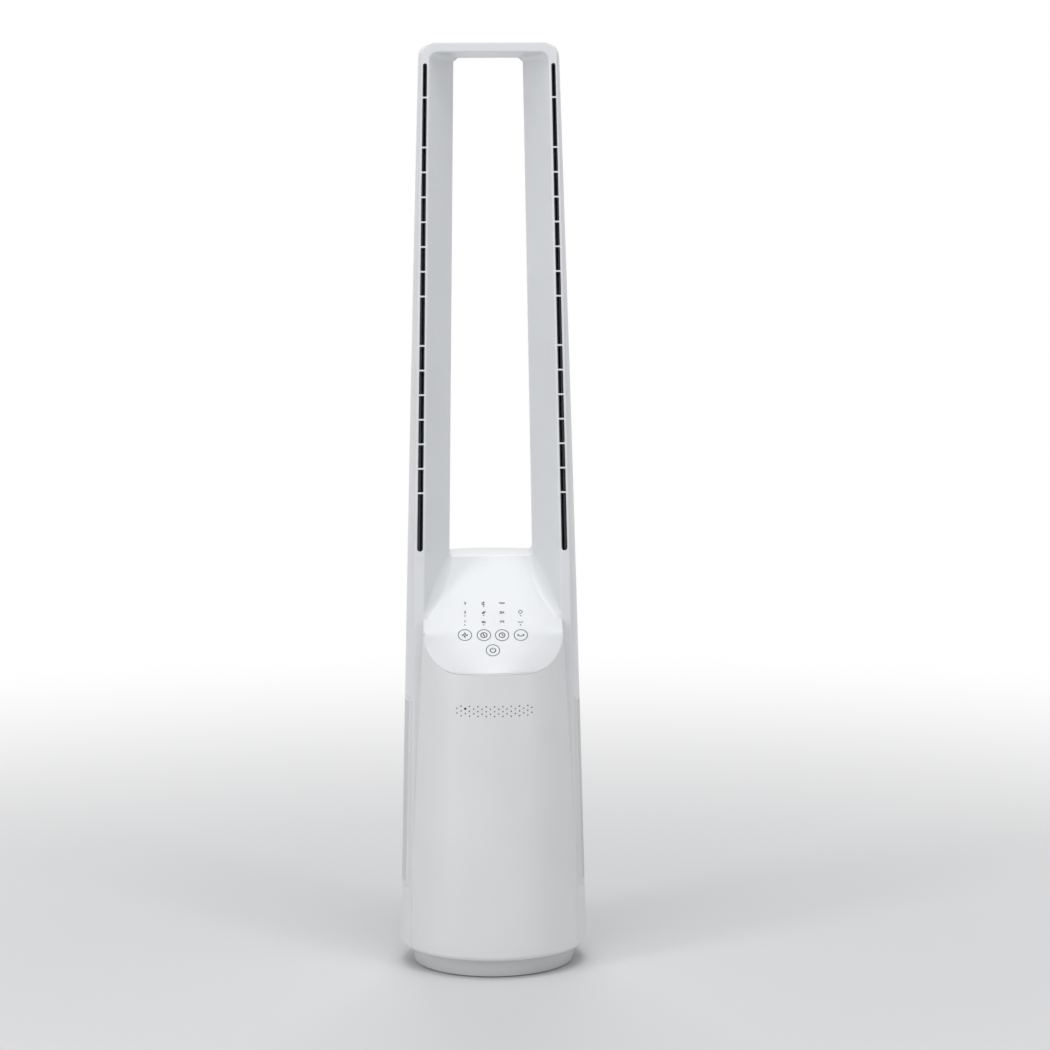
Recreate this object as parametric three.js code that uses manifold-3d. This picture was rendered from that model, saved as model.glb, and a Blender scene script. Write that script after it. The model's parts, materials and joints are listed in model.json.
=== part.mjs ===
// Bladeless tower fan, about one metre tall, in millimetres.
// +Z is up, -Y is the front and the origin is the centre of the foot's resting plane.
// A round, tapering casing turns on a heavy foot. Its upper half is a hollow loop: air drawn in through the
// perforated rear cover is driven up by an impeller and leaves through a slot in each arm of the loop.
import * as THREE from "three";
import { ConvexGeometry } from "three/addons/geometries/ConvexGeometry.js";
import { mergeVertices } from "three/addons/utils/BufferGeometryUtils.js";
import Module from "manifold-3d";

// ---------------------------------------------------------------- driving dimensions
// Clearances
const GAP = 0.3; // between pieces that touch on the real object
const RUNNING = 0.15; // radial play of a shaft in its bearing
const PLAY = 1.6; // free air round what spins

// Casing
const HEIGHT = 1000;
const BASE_RADIUS = 102.8; // of the casing's line carried down to the floor
const TOP_RADIUS = 74.9;
const BULGE = 1.2; // outward bow of the taper at mid height
const TOP_EDGE_RADIUS = 15;
const WALL = 2.2;
const RIM_Z = 21; // lower edge of the turning casing
const SEAM_LAP = 0.2; // the front moulding reaches this far behind its own wall

// Front face of the loop: a flat plane that leans back
const FACE_Y = -49.7; // where that plane would meet the floor
const FACE_LEAN = 0.0279; // of depth for each unit of height

// Opening through the loop
const SILL_Z = 445;
const TOP_BAR = 11; // height of the top bar's front face
const FACE_WIDTH_BOTTOM = 10.9; // of the flat face between the opening and the casing's outside
const FACE_WIDTH_TOP = 8.4;
const MOUTH_CORNER = 10;
const THROAT_HALF_BOTTOM = 45.7; // half width where the slanted walls end
const THROAT_HALF_TOP = 37.4;
const THROAT_CORNER = 5;
const THROAT_DROP = 4; // the underside of the top bar falls by this towards the throat
const FUNNEL_DEPTH = 50.5;
const REAR_DRAFT = 2; // the opening widens by this behind the throat

// Air slots in the face
const SLOT_WIDTH = 4.5;
const SLOT_FROM_EDGE = 4.5; // slot centre line to the opening's edge
const SLOT_BOTTOM_RISE = 12; // above the sill
const SLOT_TOP_DROP = 11.5; // below the opening's top
const RIB_THICKNESS = 1.75;
const RIB_PITCH = 26.34;
const RIB_TOP_DROP = 36; // slot top to the first rib
const RIBS_LEFT_OUT = [1, 9];
const INSERT_DEPTH = 8; // black nozzle insert behind the face
const INSERT_SLIT = 2;
const INSERT_LAP = 2; // past the slot's ends

// Control panel
const PANEL_TILT = THREE.MathUtils.degToRad(46.6);
const PANEL_FRONT_Z = 331;
const PANEL_MARGIN = 9.6; // from the panel's side to the casing's outside, where the panel meets the face
const PANEL_CORNER = 38;
const STRIP_TOP_Z = 375; // the face runs on beside the front shell as a tapering strip
const STRIP_END_Z = 150;
const STRIP_STEP = 1; // from the panel's side to the strip's inner edge
const STRIP_SPREAD = 0.0515; // outward run of the strip's inner edge for each unit of height lost

// Indicator holes in the front shell
const LED_Z = 292;
const LED_ROWS = 5;
const LED_COLUMNS = 9; // one more in every second row
const LED_PITCH = 8.9;
const LED_ROW_PITCH = 2.6;
const LED_HOLE_RADIUS = 0.55;

// Removable rear cover with the intake grille
const COVER_BOTTOM_Z = 88;
const COVER_TOP_Z = 297;
const COVER_FRONT_Y = -34;
const GRILLE_SLOT_WIDTH = 4;
const GRILLE_BORDER = 10;
const GRILLE_COLUMNS = 23;
const GRILLE_ROWS = 2;
const FILTER_THICKNESS = 4;
const FILTER_FRAME_WIDTH = 6;
const FILTER_MARGIN = 2; // cover's edge to the filter's frame

// Foot
const FOOT_RADIUS = 87.6; // at its lower edge
const FOOT_FLARE = 2.4;
const FOOT_TOP_Z = 19;
const FOOT_WALL = 3;
const FOOT_EDGE = 1; // chamfer round the deck
const FOOT_CLEARANCE = 1; // its lower edge above the floor
const DECK_HOLE_RADIUS = 58;
const PLATE_THICKNESS = 3;
const BALLAST_THICKNESS = 4;
const BALLAST_RADIUS = 72;
const BALLAST_HOLE_RADIUS = 30;
const RUBBER_RADIUS = 9;
const RUBBER_CIRCLE = 66;
const RUBBER_ANGLES = [45, 135, 225, 315];
const RUBBER_SEAT = 1.5; // depth of the rubber foot's pocket
const FOOT_SCREW_CIRCLE = 79;
const FOOT_SCREW_ANGLES = [22, 112, 202, 292];
const SLIP_RING_THICKNESS = 1.4;
const SLIP_RING_INNER = 62;
const SLIP_RING_OUTER = 78;

// Pivot
const POST_RADIUS = 12;
const POST_BORE = 9;
const POST_FLANGE_RADIUS = 24;
const POST_FLANGE = 3.5;
const HUB_RADIUS = 20;
const HUB_HEIGHT = 12;
const RETAINER_THICKNESS = 2.5;
const RETAINER_RADIUS = 18;

// Swing drive: a pinion on the turning casing rolls inside a ring gear fixed in the foot
const GEAR_MODULE = 2;
const RING_TEETH = 54;
const PINION_TEETH = 9;
const GEAR_BACKLASH = 0.3;
const ADDENDUM = 0.75; // times the module
const DEDENDUM = 1.15;
const TOOTH_TIP = 0.14; // half of a tooth's width, as a share of the pitch
const TOOTH_ROOT = 0.34;
const RING_GEAR_RIM = 4;
const GEAR_WIDTH = 6;
const PINION_SHAFT_RADIUS = 3;
const SWING_MOTOR_RADIUS = 24;
const SWING_MOTOR_HEIGHT = 20;
const SHAFT_IN_MOTOR = 6;

// Turntable and what stands on it
const TURNTABLE_THICKNESS = 3.5;
const CASE_SCREW_INSET = 4.1; // screw axis inside the casing's inner face
const CASE_SCREW_ANGLES = [40, 140, 235, 305];
const CASE_BOSS_RADIUS = 4.5;
const CASE_BOSS_HEIGHT = 25;
const SCREW_RADIUS = 1.6;
const SCREW_HEAD_RADIUS = 3.2;
const SCREW_HEAD = 1.6;
const SCREW_LENGTH = 12;
const BOARD_THICKNESS = 1.6;
const BOARD_STANDOFF = 8;
const STANDOFF_RADIUS = 3.5;
const STANDOFF_INSET = 5; // from the board's edges
const MAINS_BOARD = [84, 40];
const MAINS_BOARD_INSET = 25.8; // from the turntable's edge
const TRANSFORMER = { x: [-34, -8], depth: 24, height: 22 };
const HEAT_SINK = { x: [28, 31], depth: 30, height: 26 };
const CAPACITORS = { x: [2, 17], radius: 6.3, height: 20 };

// Blower
const SHROUD_CLEARANCE = 0.9; // to the receiver on the indicator board
const SHROUD_BOTTOM_Z = 206;
const SHROUD_TOP_Z = 320;
const BELL_FLARE = 11;
const BELL_HEIGHT = 11;
const BLADES = 9;
const BLADE_HEIGHT = 34;
const BLADE_THICKNESS = 2;
const BLADE_ANGLE = THREE.MathUtils.degToRad(38);
const BLADE_CAMBER = 0.08; // of the chord
const IMPELLER_Z = 222;
const IMPELLER_HEIGHT = 40;
const IMPELLER_NOSE_RADIUS = 14;
const IMPELLER_RIM = 8; // straight part of its cone
const SHAFT_RADIUS = 4;
const NUT_HEIGHT = 6;
const NUT_RADIUS = 7.5;
const DIFFUSER_Z = 266;
const DIFFUSER_HEIGHT = 50;
const DIFFUSER_HUB_RADIUS = 30;
const DIFFUSER_VANES = 7;
const DIFFUSER_RING = 2;
const VANE_INSET = 4;
const ISOLATOR_THICKNESS = 3;
const ISOLATOR_WIDTH = 10;
const MOTOR_HEIGHT = 36;
const BEARING_RADIUS = 11;
const BEARING_WIDTH = 6;
const CAP_HEIGHT = 16;

// Boards behind the controls and the splitter under the sill
const TOUCH_BOARD = [72, 56];
const TOUCH_BOARD_START = 26; // up the slope from the panel's lower edge
const TOUCH_BOARD_DEPTH = 4; // below the middle of the panel's inner face
const CONTROLLER = { width: 16, start: 34, length: 12, height: 3 };
const LIGHT_GUIDE_INSET = 2;
const DISPLAY_HALF = [43, 11];
const RECEIVER = { x: -30, width: 6, depth: 5 };
const SPLITTER_HALF = 38;
const SPLITTER_DEPTH = 42;
const GLAND_RADIUS = 4.2;
const GLAND_BORE = 2.8;
const GLAND_Z = 10;
const GLAND_LENGTH = 9;

// Facets
const CASING_SEGMENTS = 48;
const ROUND_SEGMENTS = 24;
const SMALL_SEGMENTS = 12;
const PANEL_COLUMNS = 14;
const FAR = 400; // reach of a cutting block past the object
const OVERRUN = 4; // how far a cutter runs past the face that it cuts
const CUT_REACH = 1; // how far a shape sinks into a wall that it joins, or reaches past one that it bounds
const LEAST_ROUND = 0.5; // radius left on an inset corner

// ---------------------------------------------------------------- colours
const finish = (color, roughness, metalness = 0) =>
  new THREE.MeshStandardMaterial({ color, roughness, metalness });
const WHITE = finish("#e9ebee", 0.38);
const SHELL_GREY = finish("#d6d8da", 0.34);
const FOOT_GREY = finish("#a5a9ab", 0.45);
const BLACK = finish("#14171c", 0.5);
const INNER = finish("#c9ccce", 0.6);
const STEEL = finish("#9aa0a4", 0.35, 1);
const ZINC = finish("#b9bcc0", 0.45, 1);
const RUBBER = finish("#2b2c2e", 0.9);
const NYLON = finish("#efeee8", 0.55);
const BOARD_GREEN = finish("#1f5a3a", 0.6);
const FOAM = finish("#5d6468", 0.95);

// ---------------------------------------------------------------- solids
const wasm = await Module();
wasm.setup();

/** A closed geometry as a solid that can be joined and cut. */
function solid(geometry) {
  const bare = new THREE.BufferGeometry().setAttribute(
    "position",
    (geometry.index ? geometry.toNonIndexed() : geometry).getAttribute("position"),
  );
  const merged = mergeVertices(bare, 1e-3);
  const corners = merged.index.array;
  const kept = [];
  for (let i = 0; i < corners.length; i += 3) {
    const [a, b, c] = [corners[i], corners[i + 1], corners[i + 2]];
    if (a !== b && b !== c && c !== a) kept.push(a, b, c);
  }
  const build = (triangles) =>
    new wasm.Manifold(
      new wasm.Mesh({
        numProp: 3,
        vertProperties: new Float32Array(merged.attributes.position.array),
        triVerts: new Uint32Array(triangles),
      }),
    );
  const made = build(kept);
  return made.volume() > 0 ? made : build(kept.reverse());
}

/** A solid back as a geometry for a mesh. */
function geometryOf(body) {
  const { numProp, numVert, vertProperties, triVerts } = body.getMesh();
  const positions = new Float32Array(numVert * 3);
  for (let i = 0; i < numVert; i += 1) {
    positions.set(vertProperties.subarray(i * numProp, i * numProp + 3), i * 3);
  }
  const geometry = new THREE.BufferGeometry();
  geometry.setAttribute("position", new THREE.BufferAttribute(positions, 3));
  geometry.setIndex(new THREE.BufferAttribute(new Uint32Array(triVerts), 1));
  geometry.computeVertexNormals();
  return geometry;
}

/** A profile of [radius, height] points turned about Z. */
function turned(profile, segments = ROUND_SEGMENTS) {
  const points = profile.map(([r, z]) => new THREE.Vector2(r, z));
  const lathe = new THREE.LatheGeometry(points, segments);
  lathe.rotateX(Math.PI / 2);
  return solid(lathe);
}

/** A disc or a ring between two heights. */
function ring(inner, outer, z0, z1, segments = ROUND_SEGMENTS) {
  if (inner <= 0) {
    return turned([[0, z0], [outer, z0], [outer, z1], [0, z1]], segments);
  }
  return turned([[inner, z0], [outer, z0], [outer, z1], [inner, z1], [inner, z0]], segments);
}

/** A block between two opposite corners. */
function block([x0, y0, z0], [x1, y1, z1]) {
  const box = new THREE.BoxGeometry(x1 - x0, y1 - y0, z1 - z0);
  box.translate((x0 + x1) / 2, (y0 + y1) / 2, (z0 + z1) / 2);
  return solid(box);
}

/** The convex solid round a list of [x, y, z] points. */
function hull(points) {
  return solid(new ConvexGeometry(points.map((p) => new THREE.Vector3(...p))));
}

/** A flat shape drawn in X and Z, run through Y from y0 to y1. */
function alongY(shape, y0, y1, curveSegments = 6) {
  const prism = new THREE.ExtrudeGeometry(shape, { depth: y1 - y0, bevelEnabled: false, curveSegments });
  prism.rotateX(Math.PI / 2);
  prism.translate(0, y1, 0);
  return solid(prism);
}

/** A flat shape drawn in X and Y, run up from z0 to z1. */
function alongZ(shape, z0, z1, curveSegments = 6) {
  const prism = new THREE.ExtrudeGeometry(shape, { depth: z1 - z0, bevelEnabled: false, curveSegments });
  prism.translate(0, 0, z0);
  return solid(prism);
}

/** The space between the planes of two [y, z] lines' polygon, right across X. */
function acrossX(polygon) {
  return hull([-FAR, FAR].flatMap((x) => polygon.map(([y, z]) => [x, y, z])));
}

const join = (bodies) => bodies.reduce((sum, body) => sum.add(body));
const mirrored = (body) => body.mirror([1, 0, 0]);
const moved = (body, x, y, z) => body.translate([x, y, z]);
const onCircle = (radius, degrees) => {
  const angle = THREE.MathUtils.degToRad(degrees);
  return [radius * Math.cos(angle), radius * Math.sin(angle)];
};

const object = new THREE.Group();

/** Puts a finished solid into the scene as a named piece. */
function piece(name, body, material, parent = object) {
  const mesh = new THREE.Mesh(geometryOf(body), material);
  mesh.name = name;
  parent.add(mesh);
  return mesh;
}

// ---------------------------------------------------------------- shapes that several pieces share
/** Radius of the casing's outside at a height. */
function casingRadius(z) {
  const share = z / HEIGHT;
  return BASE_RADIUS + (TOP_RADIUS - BASE_RADIUS) * share + BULGE * 4 * share * (1 - share);
}

/** Depth of the loop's front plane at a height. */
const faceY = (z) => FACE_Y + FACE_LEAN * z;
const throatY = (z) => faceY(z) + FUNNEL_DEPTH;
const mouthTopZ = HEIGHT - TOP_BAR;
const throatTopZ = mouthTopZ - THROAT_DROP;
const panelRise = Math.tan(PANEL_TILT);
const panelFrontY = -casingRadius(PANEL_FRONT_Z);

/** Depth of the control panel's plane at a height. */
const panelY = (z) => panelFrontY + (z - PANEL_FRONT_Z) / panelRise;

// Where the panel's plane crosses the front plane of the loop.
const creaseZ = (PANEL_FRONT_Z + (FACE_Y - panelFrontY) * panelRise) / (1 - FACE_LEAN * panelRise);

/** Half width of the casing in the front plane at a height. */
const seamX = (z) => Math.sqrt(casingRadius(z) ** 2 - faceY(z) ** 2);
const panelHalf = seamX(creaseZ) - PANEL_MARGIN;
const mouthHalfBottom = seamX(creaseZ) - FACE_WIDTH_BOTTOM;
const mouthHalfTop = seamX(mouthTopZ) - FACE_WIDTH_TOP;
const slotBottomZ = SILL_Z + SLOT_BOTTOM_RISE;
const slotTopZ = mouthTopZ - SLOT_TOP_DROP;

/** The full casing as a solid, inset all round by a distance. */
function casing(inset, bottom) {
  const shoulderZ = HEIGHT - TOP_EDGE_RADIUS;
  const profile = [[0, bottom]];
  const spans = 4;
  for (let i = 0; i <= spans; i += 1) {
    const z = bottom + ((shoulderZ - bottom) * i) / spans;
    profile.push([casingRadius(z) - inset, z]);
  }
  const round = Math.max(TOP_EDGE_RADIUS - inset, LEAST_ROUND);
  const centre = casingRadius(shoulderZ) - inset - round;
  const steps = 5;
  for (let i = 1; i <= steps; i += 1) {
    const angle = ((Math.PI / 2) * i) / steps;
    profile.push([centre + round * Math.cos(angle), HEIGHT - inset - round + round * Math.sin(angle)]);
  }
  profile.push([0, HEIGHT - inset]);
  return turned(profile, CASING_SEGMENTS);
}

/** Points of an upright opening with rounded corners, each at the depth that a function gives. */
function openingPoints(halfBottom, halfTop, bottom, top, corner, depth) {
  const points = [];
  const steps = 3;
  for (const side of [-1, 1]) {
    for (const [half, z, up] of [[halfBottom, bottom, 1], [halfTop, top, -1]]) {
      for (let i = 0; i <= steps; i += 1) {
        const angle = ((Math.PI / 2) * i) / steps;
        const x = half - corner + corner * Math.sin(angle);
        const height = z + up * (corner - corner * Math.cos(angle));
        points.push([side * x, depth(height), height]);
      }
    }
  }
  return points;
}

/** The slanted mouth of the loop, grown by a distance, from before the face to some way past the throat. */
function funnel(grow, past = 0) {
  const run = OVERRUN / FUNNEL_DEPTH;
  const rest = past / FUNNEL_DEPTH;
  const bottomSpread = mouthHalfBottom - THROAT_HALF_BOTTOM;
  const topSpread = mouthHalfTop - THROAT_HALF_TOP;
  const wide = grow * Math.hypot(1, bottomSpread / FUNNEL_DEPTH);
  const low = grow / Math.cos(PANEL_TILT);
  const mouth = openingPoints(
    mouthHalfBottom + bottomSpread * run + wide,
    mouthHalfTop + topSpread * run + wide,
    creaseZ - (SILL_Z - creaseZ) * run - low,
    mouthTopZ + THROAT_DROP * run + grow,
    MOUTH_CORNER + grow,
    (z) => faceY(z) - OVERRUN,
  );
  const throat = openingPoints(
    THROAT_HALF_BOTTOM - bottomSpread * rest + wide,
    THROAT_HALF_TOP - topSpread * rest + wide,
    SILL_Z + (SILL_Z - creaseZ) * rest - low,
    throatTopZ - THROAT_DROP * rest + grow,
    THROAT_CORNER + grow,
    (z) => throatY(z) + past,
  );
  return hull([...mouth, ...throat]);
}

/** The straight part of the opening behind the throat, grown by a distance. */
function rearHole(grow) {
  const outline = (extra, depth) =>
    openingPoints(
      THROAT_HALF_BOTTOM + grow + extra, THROAT_HALF_TOP + grow + extra,
      SILL_Z - grow, throatTopZ + grow, THROAT_CORNER + grow, depth,
    );
  return hull([
    ...outline(0, (z) => throatY(z) - OVERRUN / 2),
    ...outline(REAR_DRAFT, () => BASE_RADIUS + OVERRUN),
  ]);
}

/** Half width of the panel's tongue at a height, seen from the front. */
function tongueHalf(z) {
  const drop = Math.min(Math.max(PANEL_FRONT_Z + PANEL_CORNER - z, 0), PANEL_CORNER);
  return panelHalf - PANEL_CORNER + Math.sqrt(PANEL_CORNER ** 2 - drop ** 2);
}

/** How fast the panel falls back from its middle at a height, so that its edge lies flush with the casing. */
function panelBow(z) {
  const height = Math.max(z, PANEL_FRONT_Z);
  const half = tongueHalf(height);
  const edge = -Math.sqrt(Math.max(casingRadius(height) ** 2 - half ** 2, 0));
  return height < creaseZ ? Math.max(edge - panelY(height), 0) / half ** 2 : 0;
}

/** All that lies above the panel's surface, moved inwards by a distance. */
function abovePanel(inset) {
  const low = inset / Math.cos(PANEL_TILT);
  const bowed = 8;
  const rows = [PANEL_FRONT_Z - OVERRUN];
  for (let i = 0; i <= bowed; i += 1) rows.push(PANEL_FRONT_Z + ((PANEL_CORNER + OVERRUN) * i) / bowed);
  rows.push(HEIGHT + FAR);
  const width = 2 * (BASE_RADIUS + OVERRUN);
  const box = new THREE.BoxGeometry(width, 1, rows.length - 1, PANEL_COLUMNS, 1, rows.length - 1);
  const position = box.getAttribute("position");
  for (let i = 0; i < position.count; i += 1) {
    const x = position.getX(i);
    const z = rows[Math.round(position.getZ(i) + (rows.length - 1) / 2)];
    const back = position.getY(i) > 0;
    position.setXYZ(i, x, back ? panelY(z) + panelBow(z) * x * x : -FAR, z - low);
  }
  return solid(box);
}

/** All that lies in front of the loop's plane and above the panel, moved inwards by a distance. */
const frontCut = (inset) => beforeFace(inset).intersect(abovePanel(inset));

/** Half width of the front shell at a height, where the face's strip begins. */
const stripHalf = (z) => panelHalf + STRIP_STEP + (STRIP_TOP_Z - z) * STRIP_SPREAD;

/** The recess on the right in which the face's strip lies, moved inwards by a distance. */
function stripCut(inset) {
  const points = [];
  for (const z of [FOOT_TOP_Z, creaseZ + OVERRUN]) {
    for (const x of [stripHalf(z) - inset, FAR]) {
      for (const y of [faceY(z) + inset, -FAR]) points.push([x, y, z]);
    }
  }
  return hull(points);
}

/** The space that the casing fills, inset all round by a distance. */
function envelope(inset, bottom = RIM_Z) {
  return casing(inset, bottom)
    .subtract(frontCut(inset))
    .subtract(stripCut(inset))
    .subtract(mirrored(stripCut(inset)))
    .subtract(funnel(inset))
    .subtract(rearHole(inset));
}

/** Everything in front of the loop's plane moved back by a distance. */
function beforeFace(back) {
  return acrossX([
    [faceY(-FAR) + back, -FAR],
    [faceY(HEIGHT + FAR) + back, HEIGHT + FAR],
    [-FAR, HEIGHT + FAR],
    [-FAR, -FAR],
  ]);
}

/** Everything in front of the throat's plane moved back by a distance. */
const beforeThroat = (back) => beforeFace(FUNNEL_DEPTH + back);

/** Everything above a height. */
const above = (z) => block([-FAR, -FAR, z], [FAR, FAR, HEIGHT + FAR]);

/** The panel's tongue as seen from the front, grown by a distance and run back to the loop's plane. */
function tongue(grow) {
  const half = panelHalf + grow;
  const corner = PANEL_CORNER + grow;
  const low = PANEL_FRONT_Z - grow;
  const shape = new THREE.Shape();
  shape.moveTo(-half, HEIGHT);
  shape.lineTo(-half, low + corner);
  shape.absarc(corner - half, low + corner, corner, Math.PI, 1.5 * Math.PI, false);
  shape.absarc(half - corner, low + corner, corner, -Math.PI / 2, 0, false);
  shape.lineTo(half, HEIGHT);
  return alongY(shape, -FAR, 0, 8);
}

const skin = envelope(0).subtract(envelope(WALL, RIM_Z - 5));
const faceBack = WALL + SEAM_LAP;

// ---------------------------------------------------------------- casing pieces
/** Centre line of the right-hand air slot at a height. */
function slotX(z) {
  const share = (z - creaseZ) / (mouthTopZ - creaseZ);
  return THREE.MathUtils.lerp(mouthHalfBottom, mouthHalfTop, share) + SLOT_FROM_EDGE;
}

/** Heights of the ribs that cross a slot. */
function ribHeights() {
  const heights = [];
  for (let i = 0, z = slotTopZ - RIB_TOP_DROP; z > slotBottomZ + RIB_PITCH; i += 1, z -= RIB_PITCH) {
    if (!RIBS_LEFT_OUT.includes(i)) heights.push(z);
  }
  return heights;
}

/** The cutter of one stretch of the right-hand slot, between two ribs. */
function slotStretch(z0, z1, roundLow, roundHigh) {
  const half = SLOT_WIDTH / 2;
  const points = [];
  for (const [z, rounded, up] of [[z0, roundLow, 1], [z1, roundHigh, -1]]) {
    const steps = rounded ? 4 : 0;
    for (let i = 0; i <= steps; i += 1) {
      const angle = rounded ? ((Math.PI / 2) * i) / steps : Math.PI / 2;
      const height = rounded ? z + up * half * (1 - Math.sin(Math.PI / 2 - angle)) : z;
      for (const side of [-1, 1]) {
        const x = slotX(height) + side * half * Math.sin(angle);
        points.push([x, faceY(height) - OVERRUN, height], [x, faceY(height) + WALL + CUT_REACH, height]);
      }
    }
  }
  return hull(points);
}

/** All stretches of the right-hand slot. */
function slotCutter() {
  const stops = [slotTopZ, ...ribHeights(), slotBottomZ];
  const stretches = [];
  for (let i = 0; i + 1 < stops.length; i += 1) {
    const first = i === 0;
    const last = i + 2 === stops.length;
    const high = stops[i] - (first ? 0 : RIB_THICKNESS / 2);
    const low = stops[i + 1] + (last ? 0 : RIB_THICKNESS / 2);
    stretches.push(slotStretch(low, high, last, first));
  }
  return join(stretches);
}

/** White front moulding: the loop's face, its slanted inner walls, the panel and the two side strips. */
function frontFrame() {
  const layer = beforeFace(faceBack).subtract(beforeFace(-GAP / 2));
  const face = skin.intersect(layer).intersect(above(STRIP_END_Z));
  const walls = skin.intersect(funnel(WALL + CUT_REACH, OVERRUN)).intersect(beforeThroat(-GAP / 2));
  const panel = skin.intersect(tongue(0)).intersect(beforeFace(GAP));
  const shoulders = skin.intersect(beforeFace(GAP)).intersect(above(STRIP_TOP_Z));
  const slots = slotCutter();
  return join([face, walls, panel, shoulders]).subtract(slots).subtract(mirrored(slots));
}

/** Where the screws that hold the casing to the turntable stand, as [x, y]. */
const caseScrewPlaces = CASE_SCREW_ANGLES.map((angle) =>
  onCircle(casingRadius(RIM_Z + TURNTABLE_THICKNESS) - WALL - CASE_SCREW_INSET, angle),
);
const turntableTop = RIM_Z + TURNTABLE_THICKNESS;
const turntableRadius = casingRadius(RIM_Z) - WALL - GAP;
const mainsBoardY = MAINS_BOARD_INSET + MAINS_BOARD[1] / 2 - turntableRadius;

/** A boss inside the casing's wall that takes one of those screws. */
function caseBoss([x, y]) {
  const start = turntableTop + GAP;
  const post = ring(SCREW_RADIUS + GAP, CASE_BOSS_RADIUS, start, start + CASE_BOSS_HEIGHT, SMALL_SEGMENTS);
  return moved(post, x, y, 0).intersect(envelope(0));
}

/** Grey lower front shell, cut out in a U for the panel, with the indicator holes. */
function frontShell() {
  const upper = skin
    .intersect(beforeFace(-GAP / 2 - GAP))
    .subtract(tongue(GAP))
    .subtract(above(STRIP_TOP_Z - GAP));
  const lower = skin.intersect(beforeFace(faceBack)).subtract(above(STRIP_END_Z - GAP));
  const bosses = caseScrewPlaces.slice(2).map(caseBoss);
  return join([upper, lower, ...bosses]).subtract(indicatorHoles());
}

/** The staggered rows of small holes that the indicator lights shine through. */
function indicatorHoles() {
  const holes = [];
  for (let row = 0; row < LED_ROWS; row += 1) {
    const count = LED_COLUMNS + (row % 2);
    const z = LED_Z + LED_ROW_PITCH * ((LED_ROWS - 1) / 2 - row);
    for (let i = 0; i < count; i += 1) {
      const hole = new THREE.CylinderGeometry(LED_HOLE_RADIUS, LED_HOLE_RADIUS, BASE_RADIUS / 2, 5);
      hole.translate(LED_PITCH * (i - (count - 1) / 2), -BASE_RADIUS, z);
      holes.push(solid(hole));
    }
  }
  return join(holes);
}

/** The window in the rear shell that the cover fills, shrunk by a distance. */
function coverWindow(shrink) {
  return block(
    [-FAR, COVER_FRONT_Y + shrink, COVER_BOTTOM_Z + shrink],
    [FAR, FAR, COVER_TOP_Z - shrink],
  );
}

/** Rear shell: the casing's back and sides, the loop's outside, its rear inner walls and the sill. */
function rearShell() {
  const behind = skin.subtract(beforeFace(faceBack + GAP));
  const bosses = caseScrewPlaces.slice(0, 2).map(caseBoss);
  return join([
    behind.subtract(funnel(WALL + CUT_REACH + GAP, OVERRUN).intersect(beforeThroat(GAP / 2))),
    ...bosses,
  ]).subtract(coverWindow(0));
}

/** The upright slots of the intake grille. */
function grilleSlots() {
  const usable = COVER_TOP_Z - COVER_BOTTOM_Z - 2 * GRILLE_BORDER;
  const height = (usable - GRILLE_BORDER * (GRILLE_ROWS - 1)) / GRILLE_ROWS;
  const middle = (BASE_RADIUS + casingRadius(COVER_TOP_Z)) / 2;
  const past = Math.asin(-COVER_FRONT_Y / middle) - (GRILLE_BORDER + GRILLE_SLOT_WIDTH / 2) / middle;
  const step = (Math.PI + 2 * past) / (GRILLE_COLUMNS - 1);
  const slots = [];
  for (let row = 0; row < GRILLE_ROWS; row += 1) {
    const z0 = COVER_BOTTOM_Z + GRILLE_BORDER + row * (height + GRILLE_BORDER);
    for (let i = 0; i < GRILLE_COLUMNS; i += 1) {
      const slot = block(
        [BASE_RADIUS / 2, -GRILLE_SLOT_WIDTH / 2, z0],
        [BASE_RADIUS + OVERRUN, GRILLE_SLOT_WIDTH / 2, z0 + height],
      );
      slots.push(slot.rotate([0, 0, THREE.MathUtils.radToDeg(step * i - past)]));
    }
  }
  return join(slots);
}

/** Removable rear cover with the intake grille. */
function rearCover() {
  return skin.intersect(coverWindow(GAP)).subtract(grilleSlots());
}

/** A curved layer just inside the cover, between two insets. */
function insideCover(shrink) {
  return casing(WALL + GAP, RIM_Z)
    .subtract(casing(WALL + GAP + FILTER_THICKNESS, RIM_Z))
    .intersect(coverWindow(shrink));
}

/** Black insert that narrows the right-hand slot, inside the arm's duct. */
function nozzleInsert() {
  const duct = envelope(WALL + GAP)
    .subtract(beforeFace(faceBack + GAP))
    .intersect(beforeFace(faceBack + GAP + INSERT_DEPTH))
    .intersect(block([0, -FAR, slotBottomZ - INSERT_LAP], [FAR, FAR, slotTopZ + INSERT_LAP]));
  const points = [];
  for (const z of [slotBottomZ, slotTopZ - INSERT_LAP]) {
    for (const side of [-1, 1]) {
      const x = slotX(z) + (side * INSERT_SLIT) / 2;
      points.push([x, faceY(z) - OVERRUN, z], [x, faceY(z) + faceBack + INSERT_DEPTH + OVERRUN, z]);
    }
  }
  return duct.subtract(funnel(WALL + GAP)).subtract(hull(points));
}

// ---------------------------------------------------------------- foot pieces
const plateBottom = FOOT_CLEARANCE;
const plateTop = plateBottom + PLATE_THICKNESS;
const deckBottom = FOOT_TOP_Z - FOOT_WALL;
const ringPitchRadius = (GEAR_MODULE * RING_TEETH) / 2;
const pinionPitchRadius = (GEAR_MODULE * PINION_TEETH) / 2;
const pinionOffset = ringPitchRadius - pinionPitchRadius;
const gearTop = deckBottom - GAP;
const rubberPlaces = RUBBER_ANGLES.map((angle) => onCircle(RUBBER_CIRCLE, angle));
const footScrewPlaces = FOOT_SCREW_ANGLES.map((angle) => onCircle(FOOT_SCREW_CIRCLE, angle));

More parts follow.
